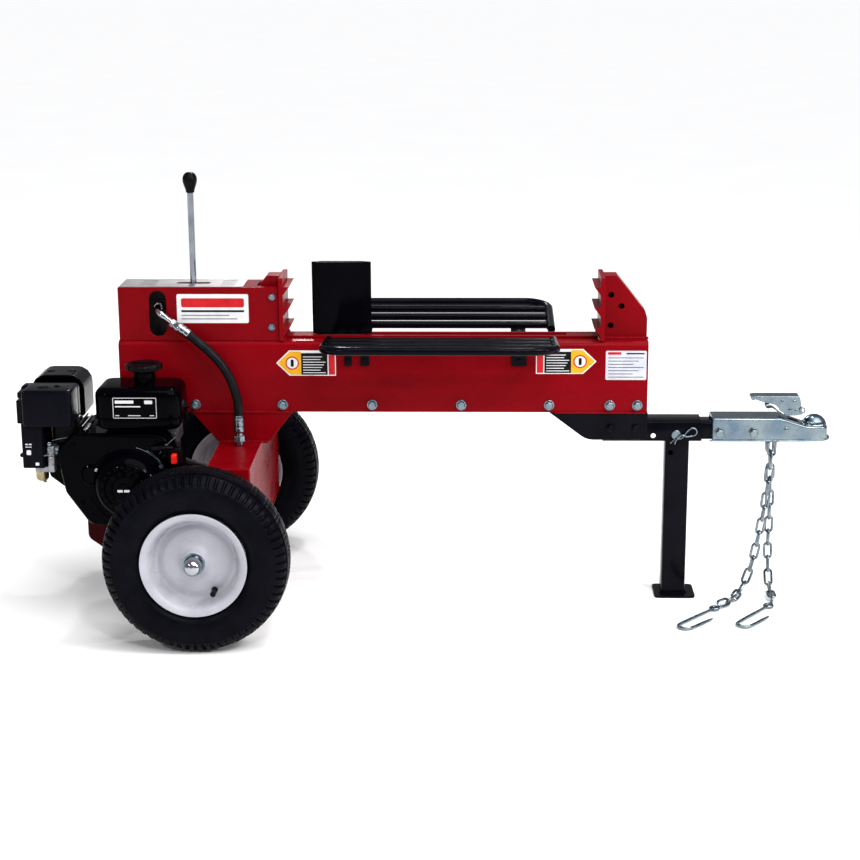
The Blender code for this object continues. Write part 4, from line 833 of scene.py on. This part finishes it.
def coupler():
    """The pressed coupler: the CAD's shell with soft edges, its rolled lip, nuts and rivets."""
    refined("coupler_body", "zinc_plate", 0.0046, segments=5)
    lip_height = 0.385
    near = [(1.15, -0.0372), (1.25, -0.0372), (1.345, -0.0372), (1.38, -0.0352)]
    plan = near + arc((1.396, 0.0), 0.0352, -80, 80, 18) + [(x, -y) for x, y in near[::-1]]
    lip = smooth([(x, y, lip_height) for x, y in plan], 0.006)
    section = rounded(rectangle((-0.0014, -0.0022), (0.0014, 0.0022)), 0.001, 3)
    Shape().sweep(lip, 1.0, section=section, up=Z).show("coupler_lip", "zinc_plate")

    nuts = Shape().bolts_both_sides([(1.173, 0.404), (1.251, 0.404)], 0.0362, 0.017)
    rivet = [(0.0065, 0.0), (0.0062, 0.0018), (0.0035, 0.0034), (0.0, 0.0038)]
    for side in SIDES.values():
        nuts.lathe([(r, side * h) for r, h in rivet], (1.327, side * 0.0361, 0.411), "y", 24)
    nuts.show("coupler_nuts", "zinc_plate", bevel=0.0004)
    coupler_latch()


def coupler_latch():
    """The latch is a folded pressing with rivets, a rolled rear edge, an eyelet and a curled trigger."""
    side_wall = rounded([
        (1.248, 0.4855), (1.357, 0.4855), (1.36, 0.476), (1.366, 0.443), (1.35, 0.44), (1.326, 0.44),
        (1.321, 0.447), (1.312, 0.452), (1.308, 0.462), (1.3, 0.466), (1.271, 0.473), (1.254, 0.479),
    ], 0.0028, 4)
    rivets = ((1.318, 0.4735, 1.0), (1.346, 0.4735, 1.0), (1.3365, 0.453, 1.25), (1.35, 0.452, 0.9))
    latch, extras = Shape(), Shape()
    for side in SIDES.values():
        latch.prism(side_wall, "y", side * 0.0158, side * 0.018)
        for x, z, size in rivets:
            extras.lathe([
                (0.0042 * size, 0.0), (0.004 * size, side * 0.0012), (0.0022 * size, side * 0.0022),
                (0.0, side * 0.0024),
            ], (x, side * 0.0181, z), "y", 20)
    latch.box((1.25, -0.0176, 0.4836), (1.3565, 0.0176, 0.4862))
    latch.box((1.335, -0.0162, 0.442), (1.36, 0.0162, 0.4445))
    latch.show("latch_pressing", "zinc_plate", "latch", ("coupler_latch",), 0.0006)
    extras.sweep([(1.2505, y, 0.4808) for y in (-0.017, 0.0, 0.017)], 0.005, 20)
    extras.ring((1.364, -0.0205, 0.4535), 0.006, "y", 20, 0.0016, 10)
    extras.show("latch_rivets", "zinc_plate", "latch", bevel=0.0002)
    curl = smooth([(x, 0.0, z) for x, z in (
        (1.2885, 0.4655), (1.2835, 0.465), (1.281, 0.461), (1.283, 0.457), (1.288, 0.456),
        (1.293, 0.4575), (1.299, 0.456), (1.307, 0.45), (1.315, 0.443), (1.32, 0.4405),
    )], 0.003)
    section = rounded(rectangle((-0.0011, -0.0115), (0.0011, 0.0115)), 0.0008, 2)
    Shape().sweep(curl, 1.0, section=section, up=Y).show("latch_trigger", "zinc_plate", "latch")


# ---- engine and pump ----

CRANK = (-0.178, 0.32)  # x and z of the crankshaft
FUEL_CAP = (-0.1405, -0.135)  # x and y
PUMP_PORT = (-0.178, 0.15)  # x and y


def pillow(low, high, corner, bottom, top, soft_low, soft_high, axis="z", turns=5):
    """A box with rounded plan corners and soft lower and upper edges."""
    across, over, along = directions(axis)
    rings = []
    for height, soft, way in ((bottom, soft_low, 1), (top, soft_high, -1)):
        edge = []
        for k in range(turns + 1):
            a = math.pi / 2 * k / turns
            inset, level = soft * (1 - math.sin(a)), height + way * soft * (1 - math.cos(a))
            plan = rectangle((low[0] + inset, low[1] + inset), (high[0] - inset, high[1] - inset))
            edge.append([
                across * u + over * v + along * level
                for u, v in rounded(plan, max(corner - inset, 0.002), 7)
            ])
        rings += edge[::way]
    return Shape().skin(rings)


def fluted(profile, centre, lobes, depth, from_height, to_height, steps_per_lobe=6):
    """A turned cap whose side is fluted between two heights."""
    steps = lobes * steps_per_lobe
    rings = []
    for r, h in profile:
        ring = []
        for k in range(steps):
            a = 2 * math.pi * k / steps
            dip = depth * (0.5 - 0.5 * math.cos(lobes * a)) if from_height < h < to_height else 0.0
            ring.append(Vector(centre) + (X * math.cos(a) + Y * math.sin(a)) * (r - dip) + Z * h)
        rings.append(ring)
    return Shape().skin(rings, capped=profile[0][0] > 0)


def fuel_tank():
    low, high = (-0.246, -0.203), (-0.052, -0.07)

    def grown(by_x, by_y_low, by_y_high):
        return (low[0] - by_x, low[1] - by_y_low), (high[0] + by_x, high[1] + by_y_high)

    under = pillow(*grown(-0.003, -0.003, -0.003), 0.027, 0.4485, 0.474, 0.012, 0.002)
    under.show("fuel_tank_bottom", "engine_black")
    body = pillow(low, high, 0.03, 0.476, 0.545, 0.002, 0.02)
    body.lathe([
        (0.024, 0.53), (0.024, 0.556), (0.0262, 0.557), (0.0262, 0.56), (0.024, 0.561), (0.024, 0.5688),
    ], (*FUEL_CAP, 0.0), "z", 48)
    body.show("fuel_tank_top", "engine_black", replaces=("fuel_tank",), bevel=0.0005, angle=50)
    flange = pillow(*grown(0.004, 0.002, 0.004), 0.032, 0.4735, 0.4765, 0.0008, 0.0008, turns=2)
    flange.show("fuel_tank_flange", "engine_black")

    rows = [
        (-0.202, 0.478, -0.104, 0.4792), (-0.202, 0.524, -0.104, 0.5252), (-0.202, 0.478, -0.2008, 0.5252),
        (-0.1052, 0.478, -0.104, 0.5252), (-0.197, 0.512, -0.155, 0.519), (-0.197, 0.5035, -0.14, 0.5062),
        (-0.131, 0.511, -0.113, 0.519), (-0.197, 0.4835, -0.188, 0.485), (-0.168, 0.4835, -0.14, 0.485),
        (-0.12, 0.4835, -0.11, 0.485),
    ]
    bars(rows, (0, low[1] + 0.0001, 0)).show("fuel_tank_print", "print_white")

    cap = fluted([
        (0.0, 0.022), (0.015, 0.022), (0.0165, 0.0212), (0.03, 0.0212), (0.037, 0.0205), (0.041, 0.0185),
        (0.0424, 0.016), (0.0424, 0.0095), (0.04, 0.0075), (0.028, 0.006), (0.0258, 0.0003), (0.0, 0.0003),
    ], (*FUEL_CAP, 0.569), 18, 0.0022, 0.0085, 0.0188)
    cap.plate((-0.026, -0.0045), (0.026, 0.0045), 0.004, "z", 0.59, 0.5935, centre=(*FUEL_CAP, 0.0))
    cap.show("fuel_cap_moulding", "black_plastic", "petrol_cap", ("fuel_cap",), bevel=0.0004, angle=40)


def air_cleaner():
    cover = pillow((-0.4085, 0.4545), (-0.2965, 0.5395), 0.009, -0.2, -0.128, 0.007, 0.001, "y")
    cover.show("cleaner_cover", "cleaner_black", replaces=("air_cleaner",))
    base = pillow((-0.426, 0.456), (-0.297, 0.536), 0.01, -0.127, -0.101, 0.002, 0.004, "y")
    for x, y, size in ((-0.366, -0.158, 1.6), (-0.336, -0.15, 0.9)):
        dome = [(0.0085 * size, 0.0), (0.008 * size, 0.002), (0.0045 * size, 0.003), (0.0, 0.0032)]
        base.lathe(dome, (x, y, 0.5391), "z", 24)
    base.show("cleaner_base", "cleaner_black", bevel=0.0004, angle=40)
    cover = pillow((-0.416, -0.19), (-0.366, -0.13), 0.006, 0.3572, 0.46, 0.002, 0.001)
    cover.show("carburettor_cover", "cleaner_black")
    clips = Shape()
    for low, high, reach in ((0.457, 0.511, 0.427), (0.516, 0.53, 0.4235)):
        clips.plate((-reach, low), (-0.4075, high), 0.0025, "y", -0.172, -0.11)
    clips.lathe([(0.005, -0.008), (0.005, 0.0), (0.0038, 0.0012)], (-0.4185, -0.172, 0.385), "y", 24)
    clips.show("cleaner_clips", "black_plastic", bevel=0.0006)
    rows = [
        (-0.407, 0.412, -0.401, 0.415), (-0.399, 0.412, -0.393, 0.415), (-0.407, 0.4065, -0.393, 0.408),
        (-0.405, 0.389, -0.395, 0.4), (-0.386, 0.364, -0.378, 0.371),
    ]
    bars(rows, (0, -0.1902, 0)).show("carburettor_cover_marks", "print_white")


def carburettor():
    deck = pillow((-0.3925, -0.1755), (-0.356, -0.1445), 0.006, 0.345, 0.3565, 0.001, 0.001)
    deck.show("carburettor_deck", "aluminium")
    body = pillow((-0.3612, -0.18), (-0.3448, -0.14), 0.004, 0.3452, 0.406, 0.002, 0.002)
    barrel = [(0.011, -0.012), (0.011, 0.018), (0.014, 0.0185), (0.014, 0.0215)]
    body.lathe(barrel, (-0.352, -0.16, 0.392), "x", 32)
    body.bolts([(-0.356, 0.399), (-0.35, 0.362)], -0.1805, 0.006, washer=False)
    body.show("carburettor_body", "aluminium", replaces=("carburettor",), bevel=0.0005)
    bowl = Shape().lathe([
        (0.0, 0.3205), (0.006, 0.3207), (0.0112, 0.3225), (0.014, 0.3262), (0.0147, 0.331),
        (0.0147, 0.344), (0.0158, 0.3442), (0.0158, 0.3452),
    ], (-0.379, -0.16, 0.0), "z", 40)
    bowl.bolt((-0.3745, -0.16, 0.3207), -Z, 0.008, washer=False, height=0.0045)
    bowl.show("carburettor_bowl", "brass", bevel=0.0004)
    screw = [(0.003, 0.0), (0.0036, -0.001), (0.0036, -0.005), (0.0026, -0.006)]
    Shape().lathe(screw, (-0.353, -0.1805, 0.38), "y", 20).show("idle_screw", "brass", bevel=0.0003)
    rods = Shape()
    rods.sweep(smooth([
        (-0.35, -0.172, 0.418), (-0.33, -0.176, 0.424), (-0.305, -0.18, 0.428), (-0.284, -0.178, 0.434),
        (-0.272, -0.17, 0.44),
    ], 0.004), 0.0014, 10)
    rods.sweep(smooth([
        (-0.365, -0.1935, 0.388), (-0.356, -0.1935, 0.3905), (-0.344, -0.19, 0.393), (-0.333, -0.186, 0.4),
        (-0.318, -0.184, 0.412),
    ], 0.004), 0.0016, 10)
    button = [(0.0044, 0.0), (0.0044, -0.0025), (0.003, -0.0035), (0.0, -0.0036)]
    rods.lathe(button, (-0.353, -0.186, 0.414), "y", 20)
    for k in range(9):
        rods.ring((-0.312 + k * 0.0024, -0.184, 0.4165), 0.0032, "x", 12, 0.0006, 6)
    rods.show("throttle_rods", "zinc_plate")
    lever = pillow((-0.2765, -0.18), (-0.2675, -0.126), 0.004, 0.4442, 0.4475, 0.0006, 0.0006, turns=2)
    lever.show("throttle_arm", "bare_steel", "throttle", ("throttle_lever",))
    intake = pillow((-0.356, -0.152), (-0.296, -0.108), 0.012, 0.402, 0.46, 0.006, 0.002)
    intake.show("intake_elbow", "black_plastic")


def muffler():
    refined("muffler_guard", "black_paint", 0.0016, segments=3)
    refined("muffler", "bare_steel", 0.006, segments=4)
    top = 0.5398
    pressings = Shape()
    dimple = [(0.0105, 0.0), (0.01, 0.0012), (0.006, 0.0022), (0.0, 0.0025)]
    for x in (-0.384, -0.336):
        pressings.lathe(dimple, (x, 0.004, top), "z", 32)
    for k in range(5):
        z = 0.462 + k * 0.013
        pressings.plate((-0.396, z), (-0.322, z + 0.005), 0.0024, "y", -0.035, -0.0339)
    for x in (-0.394, -0.327):
        pressings.lathe([(0.003, 0.0), (0.0028, 0.0008), (0.0, 0.0009)], (x, -0.02, top), "z", 20)
    pressings.show("guard_pressings", "black_paint", bevel=0.0004)
    outlet = Shape().sweep(smooth([
        (-0.348, 0.038, 0.486), (-0.348, 0.06, 0.486), (-0.354, 0.068, 0.484), (-0.366, 0.072, 0.482),
    ], 0.004), 0.0085, 24)
    outlet.show("muffler_outlet", "bare_steel", bevel=0.0006)


def cylinder():
    """Fins, rocker cover and spark plug, on a bore that leans back from the crankcase."""
    refined("engine_block", "engine_black", 0.003, segments=3)
    lean = math.radians(25)
    away = Vector((-math.cos(lean), 0, math.sin(lean)))
    up = Vector((math.sin(lean), 0, math.cos(lean)))
    axes = (Y, up, away)
    base = Vector((-0.292, 0, 0.372))
    fins = Shape()
    for k in range(9):
        centre = base + away * 0.0095 * k
        fins.plate((-0.1165, -0.05), (0.034, 0.05), 0.012, axes, 0.0, 0.0026, centre=centre)
    fins.show("cylinder_fins", "aluminium", bevel=0.0004)
    head = Shape().plate((-0.1, -0.036), (0.02, 0.036), 0.01, axes, 0.0, 0.02, centre=base + away * 0.08)
    for y, v in ((-0.09, 0.028), (0.01, 0.028), (-0.09, -0.028), (0.01, -0.028)):
        head.bolt(base + away * 0.1 + Y * y + up * v, away, 0.0085)
    head.show("rocker_cover", "engine_black", bevel=0.0014)
    plug = Shape()
    for profile in (
        [(0.0105, 0.0), (0.0105, 0.012), (0.006, 0.013), (0.006, 0.02)],
        [(0.0088, 0.016), (0.0096, 0.018), (0.0096, 0.036), (0.0075, 0.04)],
    ):
        plug.lathe(profile, base + away * 0.06 + Y * 0.036, "y", 24)
    plug.show("spark_plug_boot", "black_plastic", bevel=0.0006)


def crankcase():
    case = Shape().plate((-0.268, 0.232), (-0.092, 0.408), 0.045, "y", 0.0302, 0.0345, 8)
    case.bolts([
        (-0.258, 0.25), (-0.258, 0.39), (-0.102, 0.25), (-0.102, 0.39), (-0.18, 0.4), (-0.18, 0.24),
    ], 0.0345, 0.01, Y)
    case.plate((-0.12, 0.388), (-0.076, 0.424), 0.008, "y", -0.118, -0.02)
    case.show("crankcase_cover", "aluminium", bevel=0.0012)
    studs = Shape()
    for x in (-0.276, -0.098):
        for y in (-0.105, 0.02):
            studs.bolt((x, y, 0.2146), Z, 0.0125)
    studs.show("engine_bolts", "zinc_plate", bevel=0.0004)
    foot = Shape().plate((-0.287, -0.116), (-0.087, 0.03), 0.01, "z", 0.2143, 0.219)
    foot.show("engine_foot", "engine_black", bevel=0.001)
    plug = [(0.013, 0.0), (0.013, 0.01), (0.01, 0.016), (0.0, 0.017)]
    axes = (Y, Vector((0.45, 0, 0.89)), Vector((-0.89, 0, 0.45)))
    Shape().lathe(plug, (-0.292, -0.08, 0.285), axes, 24).show("oil_plug", "black_plastic", bevel=0.0008)


BLOWER_FACE = -0.1902


def arcs_round_crank(shape, wires, y, wire_radius, sides):
    """Wires bent round the crankshaft's axis; each is (radius, start, end), with its angles in degrees."""
    for radius, start, end in wires:
        shape.sweep([(x, y, z) for x, z in arc(CRANK, radius, start, end, 20)], wire_radius, sides)


def blower():
    refined("blower_housing", "engine_black", 0.008, segments=4)
    face = BLOWER_FACE
    ribs = Shape()
    wires = ((0.108, -4, 62), (0.1, 2, 58), (0.092, 200, 262), (0.084, 118, 170))
    arcs_round_crank(ribs, wires, face, 0.0021, 10)
    for k in range(4):
        x = -0.244 + k * 0.0105
        slat = rounded([(x, 0.341), (x + 0.004, 0.341), (x + 0.014, 0.323), (x + 0.01, 0.323)], 0.0012, 2)
        ribs.prism(slat, "y", face - 0.0018, face)
    boss = [(0.024, 0.0), (0.024, -0.0045), (0.02, -0.0065), (0.018, -0.003), (0.0, -0.003)]
    ribs.lathe(boss, (-0.262, face, 0.342), "y", 40)
    ribs.bolts([(-0.3, 0.412), (-0.11, 0.418), (-0.285, 0.275), (-0.09, 0.27)], face, 0.0085)
    ribs.show("blower_ribs", "engine_black", bevel=0.0003)

    bright = Shape().bolts([(-0.248, 0.355), (-0.101, 0.361)], face, 0.0085)
    # two thin zinc wires bent round the crank just proud of the face: painted highlights, bright lines for
    # the gleam on the ridges; the bolts and the lever beside them are real bright parts
    arcs_round_crank(bright, ((0.0892, 24, 76), (0.0925, 30, 60)), face - 0.0006, 0.0007, 8)
    bright.sweep(smooth([
        (-0.103, face - 0.004, 0.393), (-0.095, face - 0.005, 0.404), (-0.087, face - 0.006, 0.413),
        (-0.074, face - 0.004, 0.425), (-0.065, face, 0.432),
    ], 0.003), 0.0014, 10)
    bright.lathe([(0.0036, 0.0), (0.0036, -0.006), (0.0024, -0.0072)], (-0.087, face, 0.413), "y", 20)
    bright.show("blower_brightwork_and_painted_highlights", "zinc_plate", bevel=0.0002)


def starter():
    """The recoil starter's cover with its two rings of bars, and its grip and rope."""
    centre = (CRANK[0], BLOWER_FACE - 0.0001, CRANK[1])
    cover = Shape().lathe([
        (0.083, 0.0), (0.083, -0.002), (0.0775, -0.003), (0.0755, -0.014), (0.0715, -0.024), (0.066, -0.032),
        (0.06, -0.037), (0.058, -0.036), (0.056, -0.0375), (0.047, -0.041), (0.045, -0.0395),
        (0.043, -0.0418), (0.03, -0.044), (0.028, -0.0415), (0.015, -0.0415), (0.013, -0.0445),
        (0.0, -0.046),
    ], centre, "y", 72)
    for count, first, width, outer, inner, top, bottom in (
        (20, 0, 9, 0.0555, 0.0475, -0.0428, -0.037),
        (12, 8, 12, 0.0415, 0.031, -0.045, -0.04),
    ):
        for k in range(count):
            a = 360 * k / count + first
            outline = arc((0, 0), outer, a, a + width, 4) + arc((0, 0), inner, a + width, a, 4)
            cover.prism(outline, "y", top, bottom, centre)
    cover.show("starter_cover", "engine_black", replaces=("recoil_starter",), bevel=0.0004, angle=28)
    rows = [(-0.194, 0.315, -0.182, 0.3205), (-0.179, 0.315, -0.166, 0.3205)]
    bars(rows, (0, -0.2362, 0)).show("starter_cover_marks", "print_white")

    x, z = -0.094, 0.409
    spine = smooth([(x + u, y, z) for u, y in (
        (-0.024, -0.205), (-0.012, -0.2056), (0, -0.206), (0.012, -0.2056), (0.024, -0.205),
    )], 0.003)
    grip = Shape().sweep(spine, lambda t: 0.0066 - 0.0018 * abs(2 * t - 1) ** 3, 20)
    grip.lathe([(0.0045, 0.0), (0.0058, 0.002), (0.005, 0.011), (0.0034, 0.013)], (x, -0.203, z), "y", 24)
    grip.show("starter_handle", "black_plastic", "starter_grip", ("recoil_handle",), bevel=0.0006)
    rope = Shape().sweep([(x, -0.192 + 0.02 * k, z) for k in range(8)], 0.0021, 10)
    rope.show("starter_rope", "black_plastic", "starter_grip")


def stop_switch():
    switch = pillow((-0.076, 0.372), (-0.064, 0.394), 0.003, -0.206, -0.1905, 0.003, 0.0004, "y")
    switch.show("switch_rocker", "switch_red", "switch", ("engine_switch",))
    panel = pillow((-0.084, 0.365), (-0.056, 0.401), 0.005, BLOWER_FACE, -0.17, 0.0012, 0.0004, "y")
    panel.bolts([(-0.1, 0.404), (-0.088, 0.398), (-0.093, 0.388)], -0.1905, 0.007)
    panel.show("switch_box", "black_plastic", bevel=0.0006, angle=50)


def pump():
    refined("gear_pump", "cast_iron", 0.002)
    refined("pump_bracket", "cast_iron", 0.0012)
    # the mount under the engine takes the darker red: painted shade where the engine shadows it
    refined("engine_mount", "red_paint_painted_shade", 0.001)
    extras = Shape()
    extras.bolts([(-0.207, 0.28), (-0.149, 0.28), (-0.207, 0.36), (-0.149, 0.36)], 0.2002, 0.0105, Y)
    extras.bolts([(-0.212, 0.292), (-0.144, 0.348)], 0.1055, 0.01)
    extras.show("pump_bolts", "zinc_plate", bevel=0.0004)
    ends = Shape()
    ends.lathe([(0.0115, 0.3722), (0.0115, 0.396), (0.01, 0.398)], (*PUMP_PORT, 0.0), "z", 32)
    ends.bolt((*PUMP_PORT, 0.3722), Z, 0.024, washer=False, height=0.01)
    ends.lathe([(0.015, 0.0), (0.015, 0.006), (0.014, 0.0065)], (-0.137, 0.128, 0.288), "x", 32)
    ends.lathe([(0.0112, 0.0), (0.0112, 0.024), (0.0098, 0.0255)], (-0.115, 0.0205, 0.69), "y", 32)
    strap = rounded(rectangle((-1.1, -0.35), (1.1, 0.35)), 0.1, 1)
    for x, z in ((-0.116, 0.2871), (-0.012, 0.2577)):
        ends.ring((x, 0.128, z), 0.0136, "x", 24, 0.0034, 8, strap)
        ends.plate((x - 0.004, 0.141), (x + 0.004, 0.151), 0.001, "z", z - 0.004, z + 0.004, 2)
    ends.show("hose_ends", "zinc_plate", bevel=0.0004)


def engine():
    fuel_tank()
    air_cleaner()
    carburettor()
    muffler()
    cylinder()
    crankcase()
    blower()
    starter()
    stop_switch()
    pump()


# ---- the CAD's own nodes, and the studio ----

FLOOR_HALF = 120.0
LIGHTS = (
    # name, place, diameter, power
    ("key", (-2.2, -2.6, 2.2), 0.14, 20.0),
    ("strip", (0.6, -3.2, 2.8), 0.16, 22.0),
    ("rim", (3.0, -1.0, 1.6), 0.3, 30.0),
    ("back", (-0.6, 3.0, 2.4), 0.26, 30.0),
    ("top", (0.4, 0.8, 3.4), 0.22, 22.0),
    ("fill", (1.35, -1.3, 1.9), 0.5, 20.0),
)


def dress_cad_nodes():
    """The nodes that still show keep their shape and take a made finish."""
    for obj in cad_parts.values():
        if not obj.hide_render:
            look = obj.data.materials[0].name.split(".")[0]
            obj.data.materials[0] = finish(look if look in FINISHES else "bare_steel")


def add_light(data, place, towards):
    light = bpy.data.objects.new(data.name, data)
    light.location = place
    light.rotation_mode = "QUATERNION"
    light.rotation_quaternion = towards.to_track_quat("-Z", "Y")
    bpy.context.scene.collection.objects.link(light)


def studio():
    """A pale floor that runs out of sight, a white surround and soft lights."""
    bm = bmesh.new()
    bmesh.ops.create_grid(bm, x_segments=2, y_segments=2, size=FLOOR_HALF)
    mesh = bpy.data.meshes.new("floor")
    bm.to_mesh(mesh)
    bm.free()
    mesh.materials.append(finish("floor"))
    floor = bpy.data.objects.new("floor", mesh)
    bpy.context.scene.collection.objects.link(floor)

    world = bpy.data.worlds.new("surround")
    world.use_nodes = True
    background = world.node_tree.nodes["Background"]
    background.inputs["Color"].default_value = (0.97, 0.98, 1.0, 1.0)
    background.inputs["Strength"].default_value = 0.28
    bpy.context.scene.world = world
    softbox = bpy.data.lights.new("softbox", "SUN")
    softbox.energy, softbox.angle = 2.75, math.radians(60)
    add_light(softbox, (0, 0, 0), Vector((-0.4, 0.4, -1.0)))
    for name, place, size, power in LIGHTS:
        data = bpy.data.lights.new(name, "AREA")
        data.shape, data.size, data.energy = "DISK", size, power
        add_light(data, place, Vector((0, 0, 0.45)) - Vector(place))
    bpy.context.scene.view_settings.view_transform = "Standard"


def main():
    make_camera()
    for label in SIDES:
        chain(label)
    for name in HOSES:
        hose(name)
    beam()
    valve()
    valve_plumbing()
    cradles()
    tank()
    for label, side in SIDES.items():
        wheel(label, side)
    prints()
    hitch()
    engine()
    dress_cad_nodes()
    studio()


main()
